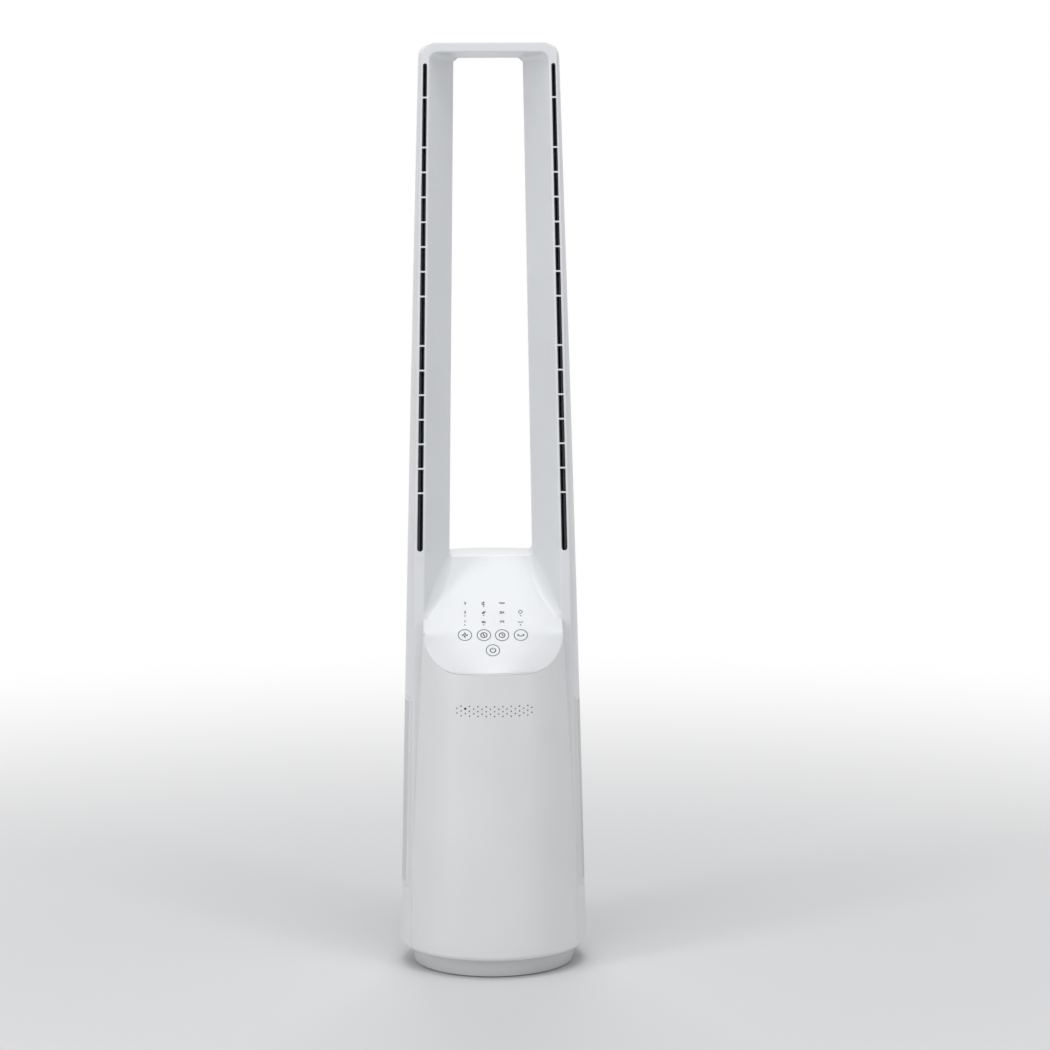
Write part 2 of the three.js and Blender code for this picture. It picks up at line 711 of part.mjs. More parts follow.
/** A pan-head screw that points up, its head's underside at a height. */
function screw([x, y], headBottom, length) {
  const body = turned(
    [
      [0, headBottom],
      [SCREW_HEAD_RADIUS, headBottom],
      [SCREW_HEAD_RADIUS, headBottom + SCREW_HEAD],
      [SCREW_RADIUS, headBottom + SCREW_HEAD],
      [SCREW_RADIUS, headBottom + length],
      [0, headBottom + length],
    ],
    SMALL_SEGMENTS,
  );
  return moved(body, x, y, 0);
}

/** The hole and the recess that such a screw needs in a plate from below. */
function screwHole([x, y], z0, z1) {
  const shank = ring(0, SCREW_RADIUS + GAP, z0 - OVERRUN, z1 + OVERRUN, SMALL_SEGMENTS);
  const head = ring(0, SCREW_HEAD_RADIUS + GAP, z0 - OVERRUN, z0 + SCREW_HEAD + GAP, SMALL_SEGMENTS);
  return moved(shank.add(head), x, y, 0);
}

/** Grey outer shell of the foot with its deck and screw bosses. */
function footShell() {
  const flareAt = (z) => FOOT_RADIUS + (FOOT_FLARE * (z - plateBottom)) / (FOOT_TOP_Z - plateBottom);
  const wall = turned(
    [
      [flareAt(plateBottom) - FOOT_WALL, plateBottom],
      [flareAt(plateBottom), plateBottom],
      [flareAt(FOOT_TOP_Z - FOOT_EDGE), FOOT_TOP_Z - FOOT_EDGE],
      [flareAt(FOOT_TOP_Z) - FOOT_EDGE, FOOT_TOP_Z],
      [DECK_HOLE_RADIUS, FOOT_TOP_Z],
      [DECK_HOLE_RADIUS, deckBottom],
      [flareAt(deckBottom) - FOOT_WALL, deckBottom],
      [flareAt(plateBottom) - FOOT_WALL, plateBottom],
    ],
    CASING_SEGMENTS,
  );
  const bossTop = deckBottom + CUT_REACH;
  const boss = ring(SCREW_RADIUS + GAP, CASE_BOSS_RADIUS, plateTop + GAP, bossTop, SMALL_SEGMENTS);
  const bosses = footScrewPlaces.map(([x, y]) => moved(boss, x, y, 0));
  const glandRadius = GLAND_RADIUS + GAP;
  const glandReach = 2 * (FOOT_WALL + OVERRUN);
  const glandHole = new THREE.CylinderGeometry(glandRadius, glandRadius, glandReach, SMALL_SEGMENTS);
  glandHole.translate(0, FOOT_RADIUS, GLAND_Z);
  return join([wall, ...bosses]).subtract(solid(glandHole));
}

/** Bottom plate of the foot, with pockets for the rubber feet and holes for the screws. */
function footPlate() {
  const pocketTop = plateBottom + RUBBER_SEAT;
  const pocket = ring(0, RUBBER_RADIUS + GAP, plateBottom - OVERRUN, pocketTop, SMALL_SEGMENTS);
  const pockets = rubberPlaces.map(([x, y]) => moved(pocket, x, y, 0));
  const holes = footScrewPlaces.map((place) => screwHole(place, plateBottom, plateTop));
  return ring(0, FOOT_RADIUS - FOOT_WALL - GAP, plateBottom, plateTop, CASING_SEGMENTS)
    .subtract(join(pockets))
    .subtract(join(holes));
}

/** Hollow post that the casing turns on. */
function pivotPost() {
  const top = turntableTop + HUB_HEIGHT + 2 * GAP + RETAINER_THICKNESS;
  const bottom = plateTop + GAP;
  return turned([
    [POST_BORE, bottom],
    [POST_FLANGE_RADIUS, bottom],
    [POST_FLANGE_RADIUS, bottom + POST_FLANGE],
    [POST_RADIUS, bottom + POST_FLANGE],
    [POST_RADIUS, top],
    [POST_BORE, top],
    [POST_BORE, bottom],
  ]);
}

/** Outline of a gear: four points a tooth, at radii for the tip and the root. */
function gearShape(teeth, tip, root, turn) {
  const pitchAngle = (2 * Math.PI) / teeth;
  const tooth = [[root, -TOOTH_ROOT], [tip, -TOOTH_TIP], [tip, TOOTH_TIP], [root, TOOTH_ROOT]];
  const points = [];
  for (let i = 0; i < teeth; i += 1) {
    for (const [radius, share] of tooth) {
      const angle = turn + pitchAngle * (i + share);
      points.push(new THREE.Vector2(radius * Math.cos(angle), radius * Math.sin(angle)));
    }
  }
  return points;
}

/** Internal ring gear under the foot's deck. */
function ringGear() {
  const shape = new THREE.Shape();
  const root = ringPitchRadius + GEAR_MODULE * DEDENDUM;
  shape.absarc(0, 0, root + RING_GEAR_RIM, 0, 2 * Math.PI, false);
  const tip = ringPitchRadius - GEAR_MODULE * ADDENDUM;
  const tooth = gearShape(RING_TEETH, tip, root, Math.PI / 2 + Math.PI / RING_TEETH);
  shape.holes.push(new THREE.Path(tooth));
  return alongZ(shape, gearTop - GEAR_WIDTH, gearTop, 24);
}

/** Pinion and its shaft, about its own axis. */
function pinion() {
  const tip = pinionPitchRadius + GEAR_MODULE * ADDENDUM - GEAR_BACKLASH;
  const root = pinionPitchRadius - GEAR_MODULE * DEDENDUM;
  const shape = new THREE.Shape(gearShape(PINION_TEETH, tip, root, Math.PI / 2));
  const gear = alongZ(shape, gearTop - GEAR_WIDTH, gearTop);
  const shaftTop = turntableTop + GAP + SHAFT_IN_MOTOR;
  return gear.add(ring(0, PINION_SHAFT_RADIUS, gearTop - CUT_REACH, shaftTop, SMALL_SEGMENTS));
}

// ---------------------------------------------------------------- pieces inside the casing
/** Turntable that closes the casing below and carries the drive and the boards. */
function turntable() {
  const disc = ring(0, turntableRadius, RIM_Z, turntableTop, CASING_SEGMENTS);
  const hub = ring(0, HUB_RADIUS, RIM_Z, turntableTop + HUB_HEIGHT);
  const standoffs = boardCorners().map(([x, y]) =>
    moved(ring(0, STANDOFF_RADIUS, RIM_Z, turntableTop + BOARD_STANDOFF, SMALL_SEGMENTS), x, y, 0),
  );
  const cutTop = turntableTop + HUB_HEIGHT + OVERRUN;
  const bore = ring(0, POST_RADIUS + RUNNING, 0, cutTop);
  const shaftHole = ring(0, PINION_SHAFT_RADIUS + GAP, 0, cutTop, SMALL_SEGMENTS);
  const holes = caseScrewPlaces.map((place) => screwHole(place, RIM_Z, turntableTop));
  return join([disc, hub, ...standoffs])
    .subtract(bore)
    .subtract(moved(shaftHole, 0, pinionOffset, 0))
    .subtract(join(holes));
}

/** Corners of the mains board, where its standoffs are. */
function boardCorners() {
  const [width, depth] = MAINS_BOARD;
  const x = width / 2 - STANDOFF_INSET;
  const y = depth / 2 - STANDOFF_INSET;
  return [-1, 1].flatMap((sx) => [-1, 1].map((sy) => [sx * x, mainsBoardY + sy * y]));
}

/** Mains board with its transformer, capacitors and heat sink. */
function mainsBoard() {
  const [width, depth] = MAINS_BOARD;
  const z = turntableTop + BOARD_STANDOFF + GAP;
  const top = z + BOARD_THICKNESS;
  const y = mainsBoardY;
  const card = block([-width / 2, y - depth / 2, z], [width / 2, y + depth / 2, top]);
  const blocks = [TRANSFORMER, HEAT_SINK].map((part) =>
    block([part.x[0], y - part.depth / 2, z + GAP], [part.x[1], y + part.depth / 2, top + part.height]),
  );
  const cans = CAPACITORS.x.map((x) =>
    moved(ring(0, CAPACITORS.radius, z + GAP, top + CAPACITORS.height, SMALL_SEGMENTS), x, y, 0),
  );
  return join([card, ...blocks, ...cans]);
}

/** Gear motor that swings the casing, above its pinion. */
function swingMotor() {
  const z = turntableTop + GAP;
  const can = ring(0, SWING_MOTOR_RADIUS, z, z + SWING_MOTOR_HEIGHT);
  const bore = ring(0, PINION_SHAFT_RADIUS + RUNNING, z - OVERRUN, z + SHAFT_IN_MOTOR + GAP, SMALL_SEGMENTS);
  return moved(can.subtract(bore), 0, pinionOffset, 0);
}

// The indicator board stands as close to the front as the round shell lets its corners, and the shroud behind it.
const [displayHalf, displayHigh] = DISPLAY_HALF;
const displayInner = casingRadius(LED_Z + displayHigh) - WALL - GAP;
const displayBoardY = GAP - Math.sqrt(displayInner ** 2 - displayHalf ** 2);
const receiverY = displayBoardY + BOARD_THICKNESS + GAP;
const shroudRadius = -receiverY - RECEIVER.depth - SHROUD_CLEARANCE - WALL;

/** Shroud round the impeller, with the bell mouth below and the flange that divides the casing above. */
function shroud() {
  const outer = shroudRadius + WALL;
  const bellTop = SHROUD_BOTTOM_Z + BELL_HEIGHT;
  const steps = 4;
  const curve = (radius) => {
    const points = [];
    for (let i = 0; i <= steps; i += 1) {
      const angle = ((Math.PI / 2) * i) / steps;
      const flare = BELL_FLARE * (1 - Math.sin(angle));
      points.push([radius + flare, SHROUD_BOTTOM_Z + BELL_HEIGHT * (1 - Math.cos(angle))]);
    }
    return points;
  };
  const inside = curve(shroudRadius);
  const outside = curve(outer).reverse();
  const whole = turned([
    ...inside,
    [shroudRadius, bellTop],
    [shroudRadius, SHROUD_TOP_Z + WALL],
    [BASE_RADIUS, SHROUD_TOP_Z + WALL],
    [BASE_RADIUS, SHROUD_TOP_Z],
    [outer, SHROUD_TOP_Z],
    ...outside,
    inside[0],
  ]);
  return whole.intersect(envelope(WALL + GAP));
}

const isolatorOuter = shroudRadius - GAP;
const diffuserOuter = isolatorOuter - ISOLATOR_THICKNESS - GAP;
const hubInner = DIFFUSER_HUB_RADIUS - DIFFUSER_RING;
const hubFloorTop = DIFFUSER_Z + WALL;
const motorBottom = hubFloorTop + GAP;
const motorTop = motorBottom + MOTOR_HEIGHT;
const motorRadius = hubInner - GAP;

/** Rubber ring that holds the diffuser in the shroud. */
function isolator() {
  const bottom = DIFFUSER_Z + (DIFFUSER_HEIGHT - ISOLATOR_WIDTH) / 2;
  return ring(isolatorOuter - ISOLATOR_THICKNESS, isolatorOuter, bottom, bottom + ISOLATOR_WIDTH);
}

/** Diffuser: straightening vanes between a motor cup and an outer ring. */
function diffuser() {
  const top = DIFFUSER_Z + DIFFUSER_HEIGHT;
  const cup = turned([
    [SHAFT_RADIUS + PLAY, DIFFUSER_Z],
    [DIFFUSER_HUB_RADIUS, DIFFUSER_Z],
    [DIFFUSER_HUB_RADIUS, top],
    [hubInner, top],
    [hubInner, hubFloorTop],
    [SHAFT_RADIUS + PLAY, hubFloorTop],
    [SHAFT_RADIUS + PLAY, DIFFUSER_Z],
  ]);
  const outer = ring(diffuserOuter - DIFFUSER_RING, diffuserOuter, DIFFUSER_Z, top);
  const vane = block(
    [DIFFUSER_HUB_RADIUS - DIFFUSER_RING / 2, -BLADE_THICKNESS / 2, DIFFUSER_Z + VANE_INSET],
    [diffuserOuter - DIFFUSER_RING / 2, BLADE_THICKNESS / 2, top - VANE_INSET],
  );
  const vanes = [];
  for (let i = 0; i < DIFFUSER_VANES; i += 1) vanes.push(vane.rotate([0, 0, (360 * i) / DIFFUSER_VANES]));
  return join([cup, outer, ...vanes]);
}

/** Motor can in the diffuser's cup, open right through for the shaft and its two bearings. */
function motorCan() {
  const seat = BEARING_RADIUS + GAP;
  const deep = BEARING_WIDTH + GAP;
  return turned([
    [seat, motorBottom],
    [motorRadius, motorBottom],
    [motorRadius, motorTop],
    [seat, motorTop],
    [seat, motorTop - deep],
    [SHAFT_RADIUS + PLAY, motorTop - deep],
    [SHAFT_RADIUS + PLAY, motorBottom + deep],
    [seat, motorBottom + deep],
    [seat, motorBottom],
  ]);
}

/** A bearing of the motor, its lower face at a height. */
const bearing = (z) => ring(SHAFT_RADIUS + RUNNING, BEARING_RADIUS, z, z + BEARING_WIDTH);

/** Domed cap over the motor. */
function hubCap() {
  const z = DIFFUSER_Z + DIFFUSER_HEIGHT + GAP;
  const profile = [[0, z]];
  const steps = 5;
  for (let i = 0; i <= steps; i += 1) {
    const angle = ((Math.PI / 2) * i) / steps;
    profile.push([DIFFUSER_HUB_RADIUS * Math.cos(angle), z + CAP_HEIGHT * Math.sin(angle)]);
  }
  return turned(profile);
}

const impellerTopRadius = DIFFUSER_HUB_RADIUS;
const bladeTip = shroudRadius - PLAY;

/** Impeller about its own axis, its lower face at zero: a cone with cambered blades. */
function impeller() {
  const cone = turned([
    [SHAFT_RADIUS + RUNNING, 0],
    [IMPELLER_NOSE_RADIUS, 0],
    [impellerTopRadius, IMPELLER_HEIGHT - IMPELLER_RIM],
    [impellerTopRadius, IMPELLER_HEIGHT],
    [SHAFT_RADIUS + RUNNING, IMPELLER_HEIGHT],
    [SHAFT_RADIUS + RUNNING, 0],
  ]);
  const inset = BLADE_THICKNESS;
  const limits = ring(IMPELLER_NOSE_RADIUS - inset, bladeTip, inset, IMPELLER_HEIGHT - inset);
  const blade = impellerBlade();
  const blades = [];
  for (let i = 0; i < BLADES; i += 1) blades.push(blade.rotate([0, 0, (360 * i) / BLADES]));
  const bore = ring(0, SHAFT_RADIUS + RUNNING, -OVERRUN, IMPELLER_HEIGHT + OVERRUN);
  return cone.add(join(blades).intersect(limits)).subtract(bore);
}

/** Hexagonal nut under the impeller. */
function impellerNut() {
  const bore = ring(0, SHAFT_RADIUS + RUNNING, -NUT_HEIGHT - OVERRUN, OVERRUN);
  return ring(0, NUT_RADIUS, -NUT_HEIGHT, -GAP, 6).subtract(bore);
}

/** One cambered blade that runs out along X. */
function impellerBlade() {
  const chord = BLADE_HEIGHT / Math.cos(BLADE_ANGLE);
  const camber = chord * BLADE_CAMBER;
  const steps = 4;
  const shape = new THREE.Shape();
  const edge = [];
  for (let i = 0; i <= steps; i += 1) {
    const along = chord * (i / steps - 0.5);
    const bow = camber * (1 - (2 * i / steps - 1) ** 2);
    edge.push([along, bow]);
  }
  const outline = [
    ...edge.map(([a, b]) => new THREE.Vector2(a, b + BLADE_THICKNESS / 2)),
    ...edge.reverse().map(([a, b]) => new THREE.Vector2(a, b - BLADE_THICKNESS / 2)),
  ];
  shape.setFromPoints(outline);
  const start = SHAFT_RADIUS + OVERRUN;
  const depth = bladeTip + OVERRUN - start;
  const blade = new THREE.ExtrudeGeometry(shape, { depth, bevelEnabled: false });
  blade.rotateY(Math.PI / 2);
  blade.rotateX(BLADE_ANGLE);
  blade.translate(start, 0, IMPELLER_HEIGHT / 2);
  return solid(blade);
}

/** A solid drawn flat, with Y up the panel's slope and Z out of it, set at the panel's slope. */
function onSlope(body) {
  return body
    .translate([0, TOUCH_BOARD_START, -WALL - TOUCH_BOARD_DEPTH])
    .rotate([THREE.MathUtils.radToDeg(PANEL_TILT), 0, 0])
    .translate([0, panelFrontY, PANEL_FRONT_Z]);
}

/** Board under the panel that senses the touch keys. */
function touchBoard() {
  const [width, length] = TOUCH_BOARD;
  const card = block([-width / 2, 0, -BOARD_THICKNESS], [width / 2, length, 0]);
  const controller = block(
    [-CONTROLLER.width / 2, CONTROLLER.start, -BOARD_THICKNESS - CONTROLLER.height],
    [CONTROLLER.width / 2, CONTROLLER.start + CONTROLLER.length, -GAP],
  );
  return onSlope(card.add(controller));
}

/** Light guide that fills the space between that board and the panel. */
function keyLightGuide() {
  const [width, length] = TOUCH_BOARD;
  const inset = LIGHT_GUIDE_INSET;
  const half = width / 2 - inset;
  const layer = block([-half, inset, GAP], [half, length - inset, 3 * TOUCH_BOARD_DEPTH]);
  return onSlope(layer).intersect(envelope(WALL + GAP));
}

/** Dark block between the indicator board and the shell that keeps the lights apart. */
function displayMask() {
  return casing(WALL + GAP, RIM_Z).intersect(
    block([-displayHalf, -FAR, LED_Z - displayHigh], [displayHalf, displayBoardY - GAP, LED_Z + displayHigh]),
  );
}

/** Indicator board behind that block. */
function displayBoard() {
  return block(
    [-displayHalf, displayBoardY, LED_Z - displayHigh],
    [displayHalf, displayBoardY + BOARD_THICKNESS, LED_Z + displayHigh],
  );
}

/** Infrared receiver on the back of the indicator board. */
function receiver() {
  const { x, width, depth } = RECEIVER;
  return block([x - width / 2, receiverY, LED_Z - width / 2], [x + width / 2, receiverY + depth, LED_Z + width / 2]);
}

/** Wedge under the sill that parts the air to the two arms. */
function splitter() {
  const top = SILL_Z - WALL - GAP;
  const shape = new THREE.Shape([
    new THREE.Vector2(-SPLITTER_HALF, top),
    new THREE.Vector2(0, top - SPLITTER_DEPTH),
    new THREE.Vector2(SPLITTER_HALF, top),
  ]);
  const front = throatY(SILL_Z) + OVERRUN;
  const back = Math.sqrt((casingRadius(SILL_Z) - WALL - GAP) ** 2 - SPLITTER_HALF ** 2) - GAP;
  return alongY(shape, front, back);
}

/** Rubber gland in the foot's wall, where the cord would leave. */
function gland() {
  const outer = new THREE.CylinderGeometry(GLAND_RADIUS, GLAND_RADIUS, GLAND_LENGTH, SMALL_SEGMENTS);
  const bore = new THREE.CylinderGeometry(GLAND_BORE, GLAND_BORE, GLAND_LENGTH + OVERRUN, SMALL_SEGMENTS);
  return moved(solid(outer).subtract(solid(bore)), 0, FOOT_RADIUS - FOOT_WALL / 2, GLAND_Z);
}

// ---------------------------------------------------------------- assembly
// Foot, which stays still
piece("foot_shell", footShell(), FOOT_GREY);
piece("foot_bottom_plate", footPlate(), FOOT_GREY);
piece(
  "ballast_plate",
  ring(BALLAST_HOLE_RADIUS, BALLAST_RADIUS, plateTop + GAP, plateTop + GAP + BALLAST_THICKNESS),
  STEEL,
);
piece("pivot_post", pivotPost(), ZINC);
piece("ring_gear", ringGear(), NYLON);
piece(
  "slip_ring",
  ring(SLIP_RING_INNER, SLIP_RING_OUTER, FOOT_TOP_Z + GAP, FOOT_TOP_Z + GAP + SLIP_RING_THICKNESS),
  NYLON,
);
piece("cord_gland", gland(), RUBBER);
rubberPlaces.forEach(([x, y], i) => {
  const pad = ring(0, RUBBER_RADIUS, 0, plateBottom + RUBBER_SEAT - GAP, SMALL_SEGMENTS);
  piece(`rubber_foot_${i + 1}`, moved(pad, x, y, 0), RUBBER);
});
footScrewPlaces.forEach((place, i) => {
  piece(`foot_screw_${i + 1}`, screw(place, plateBottom, SCREW_LENGTH), ZINC);
});
const retainerBottom = turntableTop + HUB_HEIGHT + GAP;
piece(
  "retaining_collar",
  ring(POST_RADIUS + GAP, RETAINER_RADIUS, retainerBottom, retainerBottom + RETAINER_THICKNESS),
  ZINC,
);

// Casing and all that swings with it
const tower = new THREE.Group();
object.add(tower);
piece("turntable", turntable(), INNER, tower);
piece("front_shell", frontShell(), SHELL_GREY, tower);
piece("front_frame", frontFrame(), WHITE, tower);
piece("rear_shell", rearShell(), SHELL_GREY, tower);
piece("nozzle_insert_right", nozzleInsert(), BLACK, tower);
piece("nozzle_insert_left", mirrored(nozzleInsert()), BLACK, tower);
piece("swing_motor", swingMotor(), ZINC, tower);
piece("mains_board", mainsBoard(), BOARD_GREEN, tower);
piece("touch_board", touchBoard(), BOARD_GREEN, tower);
piece("key_light_guide", keyLightGuide(), NYLON, tower);
piece("display_mask", displayMask(), BLACK, tower);
piece("display_board", displayBoard(), BOARD_GREEN, tower);
piece("remote_receiver", receiver(), BLACK, tower);
piece("air_splitter", splitter(), INNER, tower);
piece("impeller_shroud", shroud(), INNER, tower);
piece("diffuser", diffuser(), INNER, tower);
piece("motor_isolator", isolator(), RUBBER, tower);
piece("motor_can", motorCan(), STEEL, tower);
piece("lower_bearing", bearing(motorBottom), STEEL, tower);
piece("upper_bearing", bearing(motorTop - BEARING_WIDTH), STEEL, tower);
piece("motor_cap", hubCap(), INNER, tower);
caseScrewPlaces.forEach((place, i) => {
  piece(`case_screw_${i + 1}`, screw(place, RIM_Z, SCREW_LENGTH), ZINC, tower);
});

// Rotor
const rotor = new THREE.Group();
rotor.position.z = IMPELLER_Z;
tower.add(rotor);
piece("impeller", impeller(), BLACK, rotor);
piece("rotor_shaft", ring(0, SHAFT_RADIUS, -NUT_HEIGHT, motorTop - IMPELLER_Z), STEEL, rotor);
piece("impeller_nut", impellerNut(), ZINC, rotor);

// Swing pinion
const drive = new THREE.Group();
drive.position.y = pinionOffset;
tower.add(drive);
piece("swing_pinion", pinion(), NYLON, drive);

// Removable rear cover with its dust filter
const filterArea = insideCover(GAP + FILTER_FRAME_WIDTH);
piece("rear_grille_cover", rearCover(), SHELL_GREY, tower);
piece(
  "filter_frame",
  insideCover(GAP + FILTER_MARGIN).subtract(coverWindow(FILTER_FRAME_WIDTH)),
  INNER,
  tower,
);
piece("dust_filter", filterArea, FOAM, tower);

export default object;
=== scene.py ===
"""Looks of a bladeless tower fan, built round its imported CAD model.

Sizes are in millimetres until a piece is finished; a finished piece is in metres, in the CAD model's frame.
"""
import json
import logging
import math
from dataclasses import dataclass, field
from enum import Enum
from typing import Callable, Iterable, Optional

import bmesh
import bpy
from mathutils import Matrix, Vector


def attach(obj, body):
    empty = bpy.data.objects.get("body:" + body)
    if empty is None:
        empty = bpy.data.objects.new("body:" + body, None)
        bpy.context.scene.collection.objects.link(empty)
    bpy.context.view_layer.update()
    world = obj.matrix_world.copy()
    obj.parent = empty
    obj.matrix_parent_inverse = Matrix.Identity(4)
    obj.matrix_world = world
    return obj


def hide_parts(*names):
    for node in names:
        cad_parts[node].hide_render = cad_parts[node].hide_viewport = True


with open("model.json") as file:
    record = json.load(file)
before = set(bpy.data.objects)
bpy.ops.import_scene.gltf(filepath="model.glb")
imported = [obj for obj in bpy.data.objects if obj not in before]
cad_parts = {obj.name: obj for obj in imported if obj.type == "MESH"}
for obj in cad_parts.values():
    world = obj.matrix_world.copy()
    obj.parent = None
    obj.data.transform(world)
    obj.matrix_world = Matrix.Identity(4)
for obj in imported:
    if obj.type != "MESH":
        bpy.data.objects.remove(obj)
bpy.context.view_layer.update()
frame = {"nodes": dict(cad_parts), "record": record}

log = logging.getLogger("tower_fan")
MM = 0.001
WELD = 0.02  # points closer than this are one
Point = tuple[float, float]  # in a plane


class Body(Enum):
    """The bodies of the model that pieces ride on."""

    BASE = "base"
    TOWER = "tower"
    REAR_COVER = "rear_cover"


class Slot(Enum):
    """The record's material slots."""

    WHITE = "white_plastic"
    SHELL = "shell_plastic"
    FOOT = "foot_plastic"
    INNER = "inner_plastic"
    BLACK = "black_plastic"
    NYLON = "nylon"
    RUBBER = "rubber"
    STEEL = "steel"
    ZINC = "zinc"
    BOARD = "circuit_board"
    FOAM = "filter_foam"


def lerp(a: float, b: float, share: float) -> float:
    """The value that lies a share of the way from a to b."""
    return a + (b - a) * share


def clamp(value: float, low: float = 0.0, high: float = 1.0) -> float:
    """The value, kept between low and high."""
    return min(max(value, low), high)


def spread(low: float, high: float, cells: int) -> list[float]:
    """Evenly spaced values from low to high, one more than the number of cells."""
    return [lerp(low, high, i / cells) for i in range(cells + 1)]


def lerp_point(start: Point, end: Point, share: float) -> Point:
    """The point of a plane that lies a share of the way from start to end."""
    return (lerp(start[0], end[0], share), lerp(start[1], end[1], share))


def on_circle(centre: Point, radius: float, angle: float) -> Point:
    """The point of a circle at an angle in radians."""
    return (centre[0] + radius * math.cos(angle), centre[1] + radius * math.sin(angle))


def low_corner(centre: Point, radius: float, turn: float) -> Point:
    """The point of a lower right corner's arc, from its lowest at turn 0 to its side at turn 1."""
    angle = turn * math.pi / 2
    return (centre[0] + radius * math.sin(angle), centre[1] - radius * math.cos(angle))


# ---------------------------------------------------------------- finishes
Colour = tuple[float, float, float]
NOISE_SPAN = (0.3, 0.7)  # where most of a noise's values lie


def feed(node: bpy.types.Node, inputs: dict) -> None:
    """Set or link a node's inputs.

    Args:
        node: The node.
        inputs: A value, or a socket to link, for each input by its name or number.
    """
    for key, value in inputs.items():
        if isinstance(value, bpy.types.NodeSocket):
            node.id_data.links.new(value, node.inputs[key])
        else:
            node.inputs[key].default_value = value


def put(tree: bpy.types.NodeTree, kind: str, inputs: Optional[dict] = None) -> bpy.types.Node:
    """Add a node to a tree.

    Args:
        tree: The tree.
        kind: The node's type, without its leading ShaderNode.
        inputs: What its inputs get, as feed takes it.

    Returns:
        The node.
    """
    node = tree.nodes.new("ShaderNode" + kind)
    feed(node, inputs or {})
    return node


def tinted(colour: Colour, factor: float) -> Colour:
    """A colour made darker or paler by a factor."""
    return tuple(min(part * factor, 1.0) for part in colour)


class NodeSheet:
    """A material's node tree, with short calls for the nodes that the finishes share."""

    def __init__(self, name: str) -> None:
        """Start a material whose shader is a Principled BSDF.

        Args:
            name: Name of the material.
        """
        self.material = bpy.data.materials.new(name)
        self.material.use_nodes = True
        self.tree = self.material.node_tree
        self.shader = self.tree.nodes["Principled BSDF"]
        self.place = put(self.tree, "TexCoord").outputs["Object"]

    def noise(self, size: float, detail: float = 2.0) -> bpy.types.NodeSocket:
        """The value of a noise with spots of a size in metres and a number of finer layers."""
        node = put(self.tree, "TexNoise", {"Scale": 1 / size, "Detail": detail, "Vector": self.place})
        return node.outputs["Fac"]

    def ramp(
        self, value: bpy.types.NodeSocket, low: tuple[float, Colour], high: tuple[float, Colour],
    ) -> bpy.types.NodeSocket:
        """A colour that runs from one to another as a value rises.

        Args:
            value: The socket that picks.
            low: Where the first colour ends, and that colour.
            high: Where the second colour begins, and that colour.

        Returns:
            The colour socket.
        """
        node = put(self.tree, "ValToRGB", {"Fac": value})
        for element, (position, colour) in zip(node.color_ramp.elements, (low, high)):
            element.position = position
            element.color = (*colour, 1.0)
        return node.outputs["Color"]

    def stretch(self, value: bpy.types.NodeSocket, low: float, high: float) -> bpy.types.NodeSocket:
        """A noise's values, stretched to a range.

        Args:
            value: The noise's socket.
            low: The range's lower end.
            high: Its upper end.

        Returns:
            The stretched value's socket.
        """
        node = put(self.tree, "MapRange", {
            "Value": value, "From Min": NOISE_SPAN[0], "From Max": NOISE_SPAN[1], "To Min": low, "To Max": high,
        })
        return node.outputs["Result"]

    def bump(self, height: bpy.types.NodeSocket, depth: float, strength: float) -> None:
        """Press a pattern into the surface, to a depth in metres of which a share shows."""
        node = put(self.tree, "Bump", {"Distance": depth, "Strength": strength, "Height": height})
        feed(self.shader, {"Normal": node.outputs["Normal"]})


@dataclass(frozen=True)
class Moulded:
    """Injection-moulded plastic or rubber: an even colour with a slight drift and a fine spark-eroded grain."""

    name: str
    colour: Colour
    roughness: float
    drift: float = 0.015
    drift_size: float = 0.09
    wear: float = 0.03
    grain_size: float = 0.0006
    grain_depth: float = 0.00002
    grain_strength: float = 0.25
    gloss: float = 0.5

    def material(self) -> bpy.types.Material:
        """Make the finish.

        Returns:
            The material.
        """
        sheet = NodeSheet(self.name)
        dark = tinted(self.colour, 1 - self.drift)
        pale = tinted(self.colour, 1 + self.drift)
        worn = sheet.noise(self.drift_size / 3, 4.0)
        feed(sheet.shader, {
            "Base Color": sheet.ramp(sheet.noise(self.drift_size), (0.35, dark), (0.65, pale)),
            "Roughness": sheet.stretch(worn, self.roughness - self.wear, self.roughness + self.wear),
            "Specular IOR Level": self.gloss,
        })
        sheet.bump(sheet.noise(self.grain_size, 1.0), self.grain_depth, self.grain_strength)
        return sheet.material


@dataclass(frozen=True)
class Plated:
    """Plated or rolled metal with faint streaks."""

    name: str
    colour: Colour
    roughness: float
    streak: float = 0.004
    tarnish: float = 0.85
    wear: tuple[float, float] = (0.06, 0.08)
    grain_depth: float = 0.00001
    grain_strength: float = 0.2

    def material(self) -> bpy.types.Material:
        """Make the finish.

        Returns:
            The material.
        """
        sheet = NodeSheet(self.name)
        streaks = sheet.noise(self.streak, 5.0)
        dull = tinted(self.colour, self.tarnish)
        worn = sheet.noise(self.streak / 4)
        feed(sheet.shader, {
            "Base Color": sheet.ramp(streaks, (NOISE_SPAN[0], dull), (NOISE_SPAN[1], self.colour)),
            "Roughness": sheet.stretch(worn, self.roughness - self.wear[0], self.roughness + self.wear[1]),
            "Metallic": 1.0,
        })
        sheet.bump(sheet.noise(self.streak / 8), self.grain_depth, self.grain_strength)
        return sheet.material


